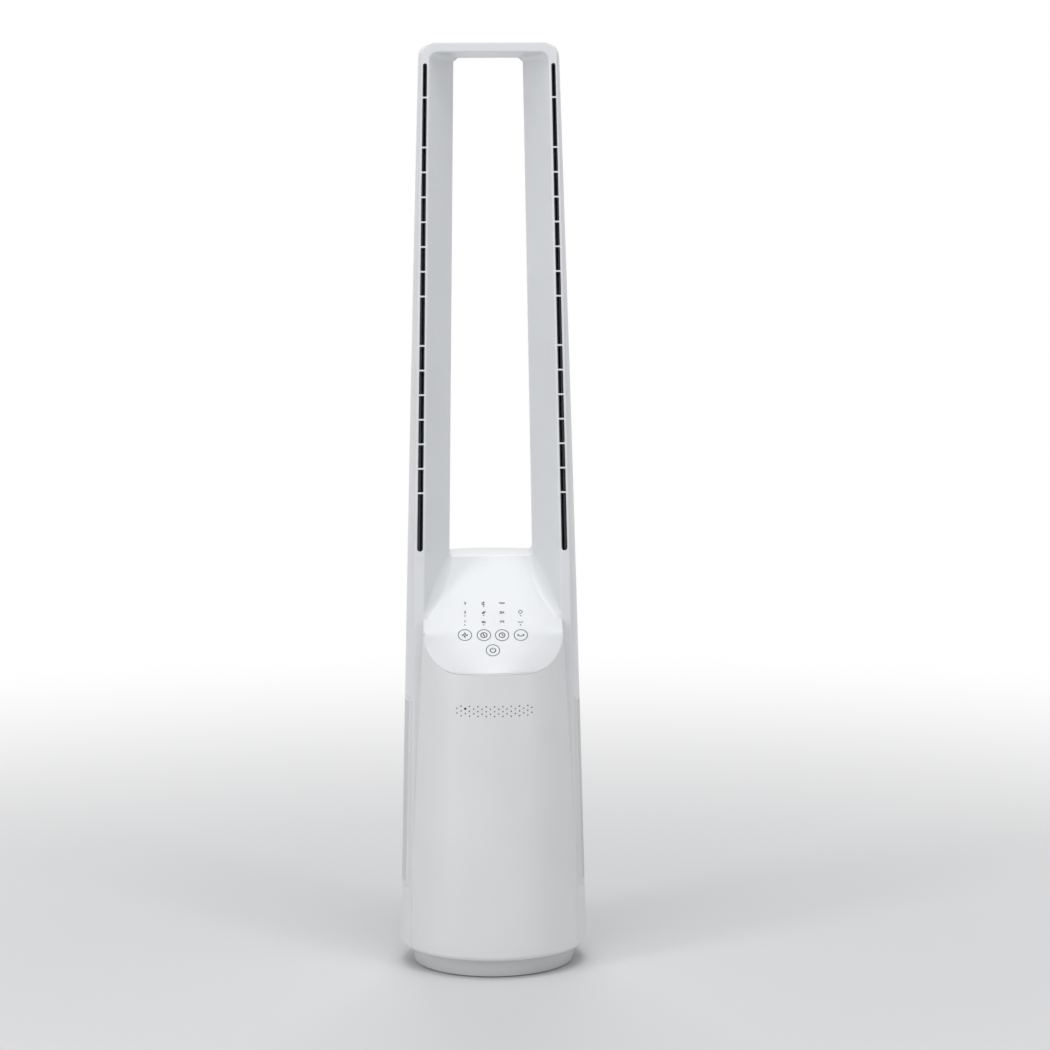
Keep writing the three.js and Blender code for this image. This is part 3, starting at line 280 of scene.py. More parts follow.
@dataclass(frozen=True)
class Foam:
    """Open-cell filter mat."""

    name: str
    colour: Colour
    cell: float = 0.0011
    cell_shade: float = 0.35
    cell_edge: tuple[float, float] = (0.1, 0.6)
    cell_depth: float = 0.0006
    cell_strength: float = 0.8
    roughness: float = 0.95

    def material(self) -> bpy.types.Material:
        """Make the finish.

        Returns:
            The material.
        """
        sheet = NodeSheet(self.name)
        pattern = put(sheet.tree, "TexVoronoi", {"Scale": 1 / self.cell, "Vector": sheet.place})
        cells = pattern.outputs["Distance"]
        shade = tinted(self.colour, self.cell_shade)
        feed(sheet.shader, {
            "Base Color": sheet.ramp(cells, (self.cell_edge[0], self.colour), (self.cell_edge[1], shade)),
            "Roughness": self.roughness,
        })
        sheet.bump(cells, self.cell_depth, self.cell_strength)
        return sheet.material


@dataclass(frozen=True)
class CircuitBoard:
    """Solder mask over copper tracks."""

    name: str
    mask: Colour
    track: Colour
    tracks_scale: float = 90.0
    track_width: float = 0.03
    track_depth: float = 0.00004
    track_strength: float = 0.5
    second_mask: float = 0.8
    roughness: tuple[float, float] = (0.3, 0.45)
    drift_size: float = 0.003

    def material(self) -> bpy.types.Material:
        """Make the finish.

        Returns:
            The material.
        """
        sheet = NodeSheet(self.name)
        tracks = put(sheet.tree, "TexBrick", {
            "Vector": sheet.place,
            "Scale": self.tracks_scale,
            "Mortar Size": self.track_width,
            "Color1": (*self.mask, 1.0),
            "Color2": (*tinted(self.mask, self.second_mask), 1.0),
            "Mortar": (*self.track, 1.0),
        })
        feed(sheet.shader, {
            "Base Color": tracks.outputs["Color"],
            "Roughness": sheet.stretch(sheet.noise(self.drift_size), *self.roughness),
        })
        sheet.bump(tracks.outputs["Fac"], self.track_depth, self.track_strength)
        return sheet.material


@dataclass
class FinishBook:
    """One finish for each slot, and the two inks, made into materials once."""

    finishes: dict[Slot, object] = field(default_factory=lambda: {
        Slot.WHITE: Moulded("white_plastic", (0.735, 0.748, 0.765), 0.38),
        Slot.SHELL: Moulded("shell_plastic", (0.745, 0.75, 0.757), 0.36),
        Slot.FOOT: Moulded("foot_plastic", (0.61, 0.612, 0.615), 0.45),
        Slot.INNER: Moulded("inner_plastic", (0.55, 0.57, 0.58), 0.6, grain_size=0.0012),
        Slot.BLACK: Moulded("black_plastic", (0.012, 0.014, 0.02), 0.5, drift=0.1),
        Slot.NYLON: Moulded("nylon", (0.8, 0.79, 0.74), 0.5, grain_size=0.001),
        Slot.RUBBER: Moulded("rubber", (0.03, 0.03, 0.032), 0.85, drift=0.12, grain_size=0.0009, gloss=0.3),
        Slot.STEEL: Plated("steel", (0.5, 0.52, 0.54), 0.32),
        Slot.ZINC: Plated("zinc", (0.6, 0.61, 0.63), 0.38, 0.006),
        Slot.BOARD: CircuitBoard("circuit_board", (0.02, 0.13, 0.06), (0.06, 0.24, 0.1)),
        Slot.FOAM: Foam("filter_foam", (0.13, 0.15, 0.16)),
    })
    made: dict[Slot, bpy.types.Material] = field(default_factory=dict)

    def get(self, slot: Slot) -> bpy.types.Material:
        """The material of a slot.

        Args:
            slot: The slot.

        Returns:
            Its material, made at the first call.
        """
        if slot not in self.made:
            self.made[slot] = self.finishes[slot].material()
        return self.made[slot]

    def ink(self, name: str, grey: float) -> bpy.types.Material:
        """A material of printed grey ink, by its name and lightness."""
        return Moulded(name, (grey, grey * 1.01, grey * 1.03), 0.5, drift=0.05).material()


# ---------------------------------------------------------------- mesh work
def sheet_mesh(
    columns: int,
    rows: int,
    place: Callable[[int, int], Vector],
    skip: Optional[Callable[[int, int], bool]] = None,
) -> bmesh.types.BMesh:
    """A grid of cells whose corners are moved to where a function puts them.

    Args:
        columns: Number of cells along the first direction.
        rows: Number of cells along the second.
        place: Gives a corner's point from its column and row number.
        skip: Says whether a cell, by its column and row number, is left out.

    Returns:
        The grid.
    """
    mesh = bmesh.new()
    bmesh.ops.create_grid(mesh, x_segments=columns, y_segments=rows, size=0.5)
    if skip:
        left_out = []
        for face in mesh.faces:
            centre = face.calc_center_median()
            cell = (int((centre.x + 0.5) * columns), int((centre.y + 0.5) * rows))
            if skip(*cell):
                left_out.append(face)
        bmesh.ops.delete(mesh, geom=left_out, context="FACES")
    for vert in mesh.verts:
        vert.co = place(round((vert.co.x + 0.5) * columns), round((vert.co.y + 0.5) * rows))
    return mesh


def take_in(mesh: bmesh.types.BMesh, other: bmesh.types.BMesh) -> None:
    """Add another mesh's geometry to a mesh, and free the other.

    Args:
        mesh: The mesh that grows.
        other: The mesh that is added; it is freed.
    """
    carrier = bpy.data.meshes.new("carrier")
    other.to_mesh(carrier)
    other.free()
    mesh.from_mesh(carrier)
    bpy.data.meshes.remove(carrier)


def weld(mesh: bmesh.types.BMesh, distance: float = WELD) -> None:
    """Merge points that lie together and drop what collapses."""
    bmesh.ops.remove_doubles(mesh, verts=mesh.verts[:], dist=distance)
    bmesh.ops.dissolve_degenerate(mesh, edges=mesh.edges[:], dist=WELD / 4)


def mirror_half(mesh: bmesh.types.BMesh) -> None:
    """Complete a right half with its mirror image.

    Args:
        mesh: The half.
    """
    for vert in mesh.verts:
        if abs(vert.co.x) < WELD:
            vert.co.x = 0.0
    everything = mesh.verts[:] + mesh.edges[:] + mesh.faces[:]
    bmesh.ops.mirror(mesh, geom=everything, matrix=Matrix.Identity(4), merge_dist=WELD, axis="X")


def face_outwards(mesh: bmesh.types.BMesh, out: Callable[[Vector], Vector]) -> None:
    """Turn all faces the same way, outwards.

    Args:
        mesh: The mesh.
        out: Gives the outward direction at a point.
    """
    bmesh.ops.recalc_face_normals(mesh, faces=mesh.faces[:])
    mesh.normal_update()
    vote = sum(face.calc_area() * face.normal.dot(out(face.calc_center_median())) for face in mesh.faces)
    if vote < 0:
        bmesh.ops.reverse_faces(mesh, faces=mesh.faces[:])


def frontwards(point: Vector) -> Vector:
    """The outward direction of a piece that faces the front, the same at every point."""
    return Vector((0.0, -1.0, 0.0))


def from_axis(point: Vector) -> Vector:
    """The outward direction, at a point, of a piece that stands round the upright axis."""
    return Vector((point.x, point.y, 0.0))


def extrude_edges(mesh: bmesh.types.BMesh, edges: list[bmesh.types.BMEdge]) -> list[bmesh.types.BMVert]:
    """Extrude edges without moving them, and give the new vertices."""
    made = bmesh.ops.extrude_edge_only(mesh, edges=edges)
    return [part for part in made["geom"] if isinstance(part, bmesh.types.BMVert)]


def round_edges(mesh: bmesh.types.BMesh, edges: list[bmesh.types.BMEdge], width: float) -> None:
    """Round some edges.

    Args:
        mesh: The mesh.
        edges: Its edges to round.
        width: How far from an edge its rounding starts.
    """
    bmesh.ops.bevel(
        mesh, geom=edges, offset=width, offset_type="OFFSET", affect="EDGES", segments=4, profile=0.5,
        material=-1, clamp_overlap=False,
    )


def add_pin(mesh: bmesh.types.BMesh, place: Matrix, radius: float, length: float, segments: int) -> None:
    """Add a round pin to a cutter.

    Args:
        mesh: The cutter.
        place: Brings an upright pin at the origin to where it belongs.
        radius: The pin's radius.
        length: Its length.
        segments: Number of its sides.
    """
    bmesh.ops.create_cone(
        mesh, cap_ends=True, cap_tris=False, segments=segments, radius1=radius, radius2=radius, depth=length,
        matrix=place,
    )


def into_scene(name: str, data: bpy.types.ID) -> bpy.types.Object:
    """Make an object of some data and put it into the scene.

    Args:
        name: Name of the object.
        data: Its data.

    Returns:
        The object.
    """
    thing = bpy.data.objects.new(name, data)
    bpy.context.scene.collection.objects.link(thing)
    return thing


def mesh_object(name: str, mesh: bmesh.types.BMesh) -> bpy.types.Object:
    """Make an object of a mesh and put it into the scene.

    Args:
        name: Name of the object.
        mesh: Its shape; it is freed.

    Returns:
        The object.
    """
    data = bpy.data.meshes.new(name)
    mesh.to_mesh(data)
    mesh.free()
    return into_scene(name, data)


@dataclass
class Edging:
    """Wall and edge of a moulded piece, in millimetres."""

    wall: float = 0.0
    round: float = 0.0
    segments: int = 2
    least_angle: float = 38.0


@dataclass
class Piece:
    """A finished piece and what it stands for."""

    name: str
    body: Body
    slot: Slot
    stands_for: tuple[str, ...]

    def finish(
        self,
        mesh: bmesh.types.BMesh,
        materials: list[bpy.types.Material],
        edging: Edging,
        cutter: Optional[bmesh.types.BMesh] = None,
    ) -> bpy.types.Object:
        """Turn a mesh in millimetres into the finished piece.

        Args:
            mesh: The shape; it is freed.
            materials: Its materials.
            edging: Its wall and edges.
            cutter: A shape to take away from it; it is freed.

        Returns:
            The object, riding on its body.
        """
        thing = self._object(self.name, mesh)
        for material in materials:
            thing.data.materials.append(material)
        if edging.wall:
            wall = thing.modifiers.new("wall", "SOLIDIFY")
            wall.thickness = edging.wall * MM
            wall.offset = -1.0
            wall.use_even_offset = True
            wall.use_quality_normals = True
        if edging.round:
            rounding = thing.modifiers.new("edges", "BEVEL")
            rounding.width = edging.round * MM
            rounding.segments = edging.segments
            rounding.limit_method = "ANGLE"
            rounding.angle_limit = math.radians(edging.least_angle)
            rounding.use_clamp_overlap = False
            rounding.miter_outer = "MITER_ARC"
        if cutter:
            self._cut(thing, cutter)
        for polygon in thing.data.polygons:
            polygon.use_smooth = True
        shading = thing.modifiers.new("shading", "WEIGHTED_NORMAL")
        shading.keep_sharp = True
        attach(thing, self.body.value)
        if self.stands_for:
            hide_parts(*self.stands_for)
        log.info("%s: %d faces on %s", self.name, len(thing.data.polygons), self.body.value)
        return thing

    def _object(self, name: str, mesh: bmesh.types.BMesh) -> bpy.types.Object:
        """A scene object from a mesh in millimetres, which is freed."""
        bmesh.ops.scale(mesh, vec=(MM, MM, MM), verts=mesh.verts[:])
        return mesh_object(name, mesh)

    def _cut(self, thing: bpy.types.Object, cutter: bmesh.types.BMesh) -> None:
        """Take a shape away from a piece, once its wall and edges are made.

        Args:
            thing: The piece.
            cutter: The shape to take away.
        """
        tool = self._object(self.name + "_cutter", cutter)
        cut = thing.modifiers.new("cut", "BOOLEAN")
        cut.operation = "DIFFERENCE"
        cut.solver = "MANIFOLD"
        cut.object = tool
        graph = bpy.context.evaluated_depsgraph_get()
        result = bpy.data.meshes.new_from_object(thing.evaluated_get(graph), depsgraph=graph)
        result.name = self.name
        thing.modifiers.clear()
        thing.data = result
        bpy.data.objects.remove(tool)


# ---------------------------------------------------------------- the object's form
@dataclass(frozen=True)
class Form:
    """Outer form of the casing and its opening, which several pieces share."""

    height: float = 1000.0
    base_radius: float = 102.8
    top_radius: float = 74.9
    bulge: float = 1.2
    top_round: float = 15.0
    rim_z: float = 21.0
    rim_round: float = 5.0
    face_start: float = -49.7
    face_lean: float = 0.0279
    sill_z: float = 445.0
    crease_z: float = 390.0
    mouth_top_z: float = 989.0
    throat_top_z: float = 985.0
    mouth_half: tuple[float, float] = (73.7, 63.5)
    mouth_corner: tuple[float, float] = (6.0, 9.5)
    throat_half: tuple[float, float] = (45.7, 37.4)
    throat_corner: float = 5.0
    funnel_depth: float = 50.5
    panel_tilt: float = math.radians(46.6)
    panel_z: float = 331.0
    panel_half: float = 75.0
    panel_corner: float = 38.0
    side_drop: float = 7.0
    side_ease: tuple[float, float] = (10.0, 2.0)
    side_blend: float = 12.0
    crease_reach: float = 3.0
    strip_top_z: float = 375.0
    strip_end_z: float = 135.0
    strip_step: float = 1.0
    strip_spread: float = 0.0515

    @property
    def shoulder_z(self) -> float:
        """Height at which the top edge starts to round."""
        return self.height - self.top_round

    def radius(self, z: float) -> float:
        """Radius of the casing's outside at a height.

        Args:
            z: The height.

        Returns:
            The radius.
        """
        share = min(z, self.shoulder_z) / self.height
        side = lerp(self.base_radius, self.top_radius, share) + 4 * self.bulge * share * (1 - share)
        rise = clamp(z - self.shoulder_z, 0.0, self.top_round)
        sink = clamp(self.rim_z + self.rim_round - z, 0.0, self.rim_round)
        rounded = self.top_round - math.sqrt(self.top_round**2 - rise**2)
        return side - rounded - self.rim_round + math.sqrt(self.rim_round**2 - sink**2)

    def at(self, angle: float, z: float) -> Vector:
        """The point of the casing's outside at an angle round the axis and a height."""
        return Vector((*on_circle((0.0, 0.0), self.radius(z), angle), z))

    def casing_y(self, x: float, z: float) -> float:
        """Depth of the casing's front side at a place across and a height."""
        return -math.sqrt(self.radius(z) ** 2 - x * x)

    def face_y(self, z: float) -> float:
        """Depth of the loop's front plane at a height."""
        return self.face_start + self.face_lean * z

    def throat_y(self, z: float) -> float:
        """Depth of the plane where the slanted inner walls end."""
        return self.face_y(z) + self.funnel_depth

    def across(self, z: float, behind: float = 0.0) -> float:
        """Half width of the casing at a height, some way behind the front plane."""
        return math.sqrt(self.radius(z) ** 2 - (self.face_y(z) + behind) ** 2)

    def tongue_half(self, z: float) -> float:
        """Half width of the control panel at a height."""
        drop = clamp(self.panel_z + self.panel_corner - z, 0.0, self.panel_corner)
        return self.panel_half - self.panel_corner + math.sqrt(self.panel_corner**2 - drop**2)

    def panel_y(self, x: float, z: float) -> float:
        """Depth of the panel's bowed surface.

        Args:
            x: Place across.
            z: The height.

        Returns:
            The depth, which at the panel's sides is the casing's own.
        """
        plane = -self.radius(self.panel_z) + (z - self.panel_z) / math.tan(self.panel_tilt)
        height = max(z, self.panel_z)
        half = self.tongue_half(height)
        fall = -math.sqrt(max(self.radius(height) ** 2 - half**2, 0.0)) - plane
        start = self.strip_top_z - self.side_blend
        blend = clamp((z - start) / (self.crease_z - self.side_drop - start))
        ease = blend * blend * (3 - 2 * blend)
        sag = self.side_drop / math.tan(self.panel_tilt) * ease
        share = min(abs(x) / half, 1.0)
        depth = (fall + sag + math.hypot(fall - sag, lerp(*self.side_ease, share**6))) / 2
        return plane + depth * share ** (2 + 2 * ease)

    def crease_at(self, x: float) -> float:
        """Height at which the panel meets the face's plane, at a place across."""
        return self.crease_z - self.side_drop * (x / self.panel_half) ** 4

    def front_y(self, x: float, z: float, soft: float = 0.0) -> float:
        """Depth of the front: the loop's plane or the panel, whichever stands further out.

        Args:
            x: Place across.
            z: The height.
            soft: How much of the crease between them is eased.

        Returns:
            The depth.
        """
        face = self.face_y(z)
        panel = self.panel_y(x, z)
        near = max(self.crease_reach - abs(face - panel), 0.0) / self.crease_reach
        return min(face, panel) - soft * near * near * self.crease_reach / 4

    def strip_half(self, z: float) -> float:
        """Half width at which the white side strips begin."""
        return self.panel_half + self.strip_step + (self.strip_top_z - z) * self.strip_spread

    def mouth_at(self, z: float) -> float:
        """Half width of the mouth at a height, without its corners."""
        return lerp(*self.mouth_half, (z - self.crease_z) / (self.mouth_top_z - self.crease_z))

    def throat_at(self, z: float) -> float:
        """Half width of the throat at a height, without its corners."""
        return lerp(*self.throat_half, (z - self.sill_z) / (self.throat_top_z - self.sill_z))


FORM = Form()
LYING = Matrix.Rotation(math.pi / 2, 4, "X")  # lays an upright pin along the depth


# ---------------------------------------------------------------- front moulding
@dataclass
class Station:
    """A place along the sweep of the front moulding: points as (x, z), from the outside to the throat."""

    back: Vector
    outer: Point
    inner: list[Point]
    mouth: Point
    throat: Point
    lean: Point = (0.0, 0.0)
    outer_round: float = 1.2
    soft: float = 0.0
    slot_above: bool = False


@dataclass
class AirSlots:
    """Upright air slots in the face, and the ribs across them."""

    half_width: tuple[float, float] = (3.1, 2.2)
    bottom_z: float = 457.0
    top_z: float = 977.5
    rib: float = 1.75
    rib_pitch: float = 26.34
    rib_drop: float = 36.0
    left_out: tuple[int, ...] = (1, 9, 17)
    end_angles: tuple[float, ...] = (14.0, 38.0, 63.0, 90.0)
    row_pitch: float = 22.0

    def half_at(self, z: float) -> float:
        """Half width of a slot at a height."""
        return lerp(*self.half_width, clamp((z - self.bottom_z) / (self.top_z - self.bottom_z)))

    def ribs(self) -> list[float]:
        """Find the ribs.

        Returns:
            Heights of their middles, from the lowest.
        """
        highest = self.top_z - self.rib_drop
        numbers = range(int((highest - self.bottom_z) / self.rib_pitch))
        return [highest - number * self.rib_pitch for number in numbers[::-1] if number not in self.left_out]

    def _open_rows(self, start: float, end: float) -> list[tuple[float, float, bool]]:
        """Rows of the open slot between two heights, without those at the heights."""
        cells = max(1, round((end - start) / self.row_pitch))
        return [(z, self.half_at(z), True) for z in spread(start, end, cells)[1:-1]]

    def rows(self) -> list[tuple[float, float, bool]]:
        """Rows of the face along a slot.

        Returns:
            Height, half width of the slot and whether it is open above, from the lowest.
        """
        wide, narrow = self.half_width
        turns = [math.radians(angle) for angle in self.end_angles]
        turns = [(1 - math.cos(turn), math.sin(turn)) for turn in turns]
        rows = [(self.bottom_z + wide * rise, wide * half, True) for rise, half in turns]
        high = [(self.top_z - narrow * fall, narrow * half, True) for fall, half in turns[::-1]]
        high[-1] = (*high[-1][:2], False)
        start = rows[-1][0]
        for rib in self.ribs():
            below, above = rib - self.rib / 2, rib + self.rib / 2
            rows += self._open_rows(start, below)
            rows += [(below, self.half_at(below), False), (above, self.half_at(above), True)]
            start = above
        return rows + self._open_rows(start, high[0][0]) + high


@dataclass
class FrontFrame:
    """White moulding: the loop's face, its slanted inner walls, the control panel and the side strips."""

    slots: AirSlots = field(default_factory=AirSlots)
    wall: float = 1.8
    edge: float = 0.3
    side_depth: float = 2.4
    tongue_depth: float = 3.0
    lip_cells: int = 14
    corner_cells: int = 18
    side_cells: int = 5
    panel_cells: int = 16
    funnel_cells: int = 6
    strip_cells: int = 26
    start_cells: int = 4
    top_cells: int = 10
    bar_cells: int = 8
    round_points: int = 4
    lip_round: float = 0.45
    outer_round: float = 1.2
    outer_share: float = 0.13
    bar_round: tuple[float, float] = (1.1, 1.7)
    mouth_round: float = 1.7
    mouth_crease: float = math.radians(30)
    mouth_land: float = 2.25
    slot_margin: float = 4.0
    strip_hidden: float = 1.5
    strip_round_share: float = 0.2
    strip_shares: tuple[float, float] = (0.4, 0.7)
    bar_shares: tuple[float, float, float] = (0.25, 0.5, 0.75)
    start_turn: float = -0.2
    low_turn: float = 0.3
    lip_turn: float = 0.55
    blend: float = 7.0
    turn_rows: int = 5

    def build(self, book: FinishBook) -> bpy.types.Object:
        """Make the piece and give it its finish."""
        piece = Piece("front_frame_skin", Body.TOWER, Slot.WHITE, ("front_frame",))
        return piece.finish(self.shape(), [book.get(Slot.WHITE)], Edging(self.wall, self.edge))

    def shape(self) -> bmesh.types.BMesh:
        """Make the piece's outside.

        Returns:
            The mesh, in millimetres.
        """
        lips = self._lip_stations()
        mesh = self._sweep(lips)
        take_in(mesh, self._arm(lips[-1]))
        mirror_half(mesh)
        weld(mesh)
        face_outwards(mesh, frontwards)
        self._soften_mouth(mesh)
        return mesh

    def _corners(self) -> tuple[Point, Point]:
        """Find the lower right corners.

        Returns:
            Centres of the mouth's corner and of the throat's.
        """
        radius = FORM.mouth_corner[0]
        start = math.radians(90 * self.start_turn)
        first_x = FORM.mouth_at(FORM.crease_z) - radius + radius * math.sin(start)
        mouth_z = FORM.crease_at(first_x) + radius * math.cos(start)
        throat_z = FORM.sill_z + FORM.throat_corner
        throat_x = FORM.throat_at(throat_z) - FORM.throat_corner
        return (FORM.mouth_at(mouth_z) - radius, mouth_z), (throat_x, throat_z)

    def _lip_stations(self) -> list[Station]:
        """Stations round the panel's tongue.

        Returns:
            The stations, from the tongue's middle to the top of its side.
        """
        mouth_c, throat_c = self._corners()
        outer_c = (FORM.panel_half - FORM.panel_corner, FORM.panel_z + FORM.panel_corner)
        first = low_corner(mouth_c, FORM.mouth_corner[0], self.start_turn)
        stations = []
        for share in spread(0.0, 1.0, self.lip_cells)[:-1]:
            outer = (outer_c[0] * share, FORM.panel_z)
            mouth = (first[0] * share, FORM.crease_at(first[0] * share))
            near = (mouth[0], mouth[1] - self.mouth_land)
            stations.append(Station(
                Vector((outer[0], FORM.panel_y(*outer) + self.tongue_depth, outer[1])), outer,
                self._between(outer, near), mouth, (throat_c[0] * share, FORM.sill_z), lean=(-share, 0.0),
                outer_round=self.lip_round,
            ))
        top = FORM.crease_at(FORM.panel_half)
        for turn in spread(0.0, 1.0, self.corner_cells):
            outer = low_corner(outer_c, FORM.panel_corner, turn)
            deep = clamp((turn - 0.5) * 2)
            station = self._corner_station(outer, lerp(self.start_turn, self.low_turn, turn), deep)
            station.outer_round = self.lip_round
            stations.append(station)
        for share in spread(0.0, 1.0, self.side_cells)[1:]:
            outer = (FORM.panel_half, lerp(outer_c[1], top, share))
            station = self._corner_station(outer, lerp(self.low_turn, self.lip_turn, share), 1.0)
            station.outer_round = self.lip_round * (1 - share)
            station.soft = 4 * share * (1 - share)
            stations.append(station)
        return stations

    def _corner_station(self, outer: Point, turn: float, deep: float) -> Station:
        """A station that runs from the tongue's edge to the mouth's lower corner.

        Args:
            outer: Its point on the tongue's edge.
            turn: Its place on the mouth's corner.
            deep: How far its back has moved from the panel to the loop's plane.

        Returns:
            The station.
        """
        mouth_c, throat_c = self._corners()
        radius = FORM.mouth_corner[0]
        back = lerp(FORM.panel_y(*outer) + self.tongue_depth, FORM.face_y(outer[1]), deep * deep)
        near = low_corner(mouth_c, radius + self.mouth_land, turn)
        return Station(
            Vector((outer[0], back, outer[1])), outer, self._between(outer, near),
            low_corner(mouth_c, radius, turn), low_corner(throat_c, FORM.throat_corner, max(turn, 0.0)),
            lean=self._lean(turn),
        )

    def _lean(self, turn: float) -> Point:
        """Way in which a wider corner moves its point at a turn."""
        angle = max(turn, 0.0) * math.pi / 2
        return (math.sin(angle) - 1, 1 - math.cos(angle))

    def _between(self, outer: Point, near: Point) -> list[Point]:
        """Points of the panel between its edge and the mouth's land, which is the last of them."""
        return [lerp_point(outer, near, share) for share in spread(0.0, 1.0, self.panel_cells - 1)[1:]]

    def _rounded(self, before: Vector, corner: Vector, after: Vector, setback: float) -> list[Vector]:
        """Points of an eased corner.

        Args:
            before: A point before the corner.
            corner: The corner.
            after: A point after it.
            setback: Distance from the corner at which the easing starts.

        Returns:
            The corner's points, in order.
        """
        start = corner + (before - corner).normalized() * setback
        end = corner + (after - corner).normalized() * setback
        return [
            start * (1 - share) ** 2 + corner * 2 * share * (1 - share) + end * share**2
            for share in spread(0.0, 1.0, self.round_points - 1)
        ]

    def _on_front(self, point: Point, soft: float = 0.0) -> Vector:
        """The point of the front at a place across and a height."""
        return Vector((point[0], FORM.front_y(*point, soft), point[1]))

    def _funnel(self, station: Station) -> list[Vector]:
        """Points of the slanted wall, from the mouth to the throat.

        Args:
            station: The station.

        Returns:
            The points, in order.
        """
        mouth = self._on_front(station.mouth)
        throat_z = station.throat[1]
        throat = Vector((station.throat[0], FORM.throat_y(throat_z), throat_z))
        lean = Vector((station.lean[0], 0.0, station.lean[1])) * self.blend
        shares = spread(0.0, 1.0, self.funnel_cells)
        return [mouth.lerp(throat, share) + lean * 4 * share * (1 - share) for share in shares]

    def _profile(self, station: Station) -> list[Vector]:
        """All points of a station, from the back of its outer side to the throat.

        Args:
            station: The station.

        Returns:
            The points, in order.
        """
        outer = self._on_front(station.outer)
        inner = [self._on_front(point, station.soft) for point in station.inner]
        corner = [outer] * self.round_points
        if station.outer_round > WELD:
            corner = self._rounded(station.back, outer, inner[0], station.outer_round)
        return [station.back, *corner, *inner, *self._funnel(station)]

    def _sweep(self, stations: list[Station]) -> bmesh.types.BMesh:
        """A sheet through stations that all have the same number of points."""
        profiles = [self._profile(station) for station in stations]
        return sheet_mesh(len(profiles[0]) - 1, len(profiles) - 1, lambda i, j: profiles[j][i])

    def _beside_slot(self, outer: Point, mouth: Point, half: float) -> list[Point]:
        """Place the slot on the line between two points.

        Args:
            outer: The point on the casing's outside.
            mouth: The point on the mouth's edge.
            half: Half width of the slot.

        Returns:
            The slot's outer edge, its middle and its inner edge.
        """
        width = math.dist(outer, mouth)
        middle = self.mouth_land + self.slots.half_at(mouth[1])
        return [lerp_point(outer, mouth, 1 - (middle + offset) / width) for offset in (half, 0.0, -half)]

    def _arm_stations(self) -> list[Station]:
        """Stations up the right arm and along half of the top bar.

        Returns:
            The stations, in order.
        """
        low = self._corners()[0][1]
        high = FORM.mouth_top_z - FORM.mouth_corner[1]
        low_half, high_half = self.slots.half_width
        throat_ends = (FORM.sill_z + FORM.throat_corner, FORM.throat_top_z - FORM.throat_corner)
        first = self.slots.rows()[0][0]
        last = self.slots.rows()[-1][0]
        rows = [(z, low_half, False) for z in spread(low, first - self.slot_margin, self.start_cells)]
        rows += self.slots.rows()
        rows.append((lerp(last, high, 0.9), high_half, False))
        stations = self._turn_stations()
        for z, half, open_above in rows:
            mouth_x = FORM.mouth_at(z)
            climb = clamp((z - last) / (high - last))
            outer_z = lerp(z, FORM.shoulder_z, climb) if climb else z
            throat_z = lerp(*throat_ends, (z - low) / (high - low))
            outer = (FORM.across(outer_z), outer_z)
            setback = min(self.outer_round, (outer[0] - mouth_x) * self.outer_share)
            stations.append(Station(
                self._side_point(outer_z), outer, self._beside_slot(outer, (mouth_x, z), half), (mouth_x, z),
                (FORM.throat_at(throat_z), throat_z), lean=(0.0, 1.0 if z == low else 0.0), outer_round=setback,
                slot_above=open_above,
            ))
        return stations + self._top_stations(stations[-1])

    def _turn_stations(self) -> list[Station]:
        """Stations that carry the mouth's lower corner on from the tongue into the arm.

        Returns:
            The stations, in order.
        """
        mouth_c, throat_c = self._corners()
        stations = []
        for turn in spread(self.lip_turn, 1.0, self.turn_rows)[:-1]:
            x, z = low_corner(mouth_c, FORM.mouth_corner[0] + self.mouth_land, turn)
            inner = [(x + steps * self.slots.half_width[0], z) for steps in (2, 1, 0)]
            stations.append(Station(
                self._side_point(z), (FORM.across(z), z), inner,
                low_corner(mouth_c, FORM.mouth_corner[0], turn), low_corner(throat_c, FORM.throat_corner, turn),
                lean=self._lean(turn),
            ))
        return stations

    def _side_point(self, z: float) -> Vector:
        """The back edge of the moulding's outer side at a height."""
        return Vector((FORM.across(z, self.side_depth), FORM.face_y(z) + self.side_depth, z))

    def _top_stations(self, last: Station) -> list[Station]:
        """Stations round the top corner and along the bar to its middle.

        Args:
            last: The arm's last station.

        Returns:
            The stations, in order.
        """
        mouth_r = FORM.mouth_corner[1]
        mouth_c = (last.mouth[0] - mouth_r, FORM.mouth_top_z - mouth_r)
        throat_c = (last.throat[0] - FORM.throat_corner, FORM.throat_top_z - FORM.throat_corner)
        width = math.dist(last.outer, last.mouth)
        start_shares = [math.dist(last.outer, point) / width for point in last.inner]
        stations = []
        for turn in spread(0.0, 1.0, self.top_cells)[1:]:
            angle = turn * math.pi / 2
            z = min(FORM.shoulder_z + FORM.top_round * math.sin(angle), FORM.height - 1e-4)
            outer = (FORM.across(z), z)
            mouth = on_circle(mouth_c, mouth_r, angle)
            throat = on_circle(throat_c, FORM.throat_corner, angle)
            shares = [lerp(start, end, turn) for start, end in zip(start_shares, self.bar_shares)]
            setback = lerp(*self.bar_round, turn)
            stations.append(self._top_station(self._side_point(z), outer, shares, mouth, throat, setback))
        end = stations[-1]
        for share in spread(1.0, 0.0, self.bar_cells)[1:]:
            outer = (end.outer[0] * share, FORM.height)
            back = Vector((outer[0], FORM.face_y(FORM.height) + self.side_depth, FORM.height))
            mouth = (end.mouth[0] * share, end.mouth[1])
            throat = (end.throat[0] * share, end.throat[1])
            stations.append(self._top_station(back, outer, self.bar_shares, mouth, throat, self.bar_round[1]))
        return stations

    def _top_station(
        self, back: Vector, outer: Point, shares: Iterable[float], mouth: Point, throat: Point, setback: float,
    ) -> Station:
        """A station of the top bar, with its inner points at shares of the way from outside to mouth."""
        inner = [lerp_point(outer, mouth, share) for share in shares]
        return Station(back, outer, inner, mouth, throat, outer_round=setback)

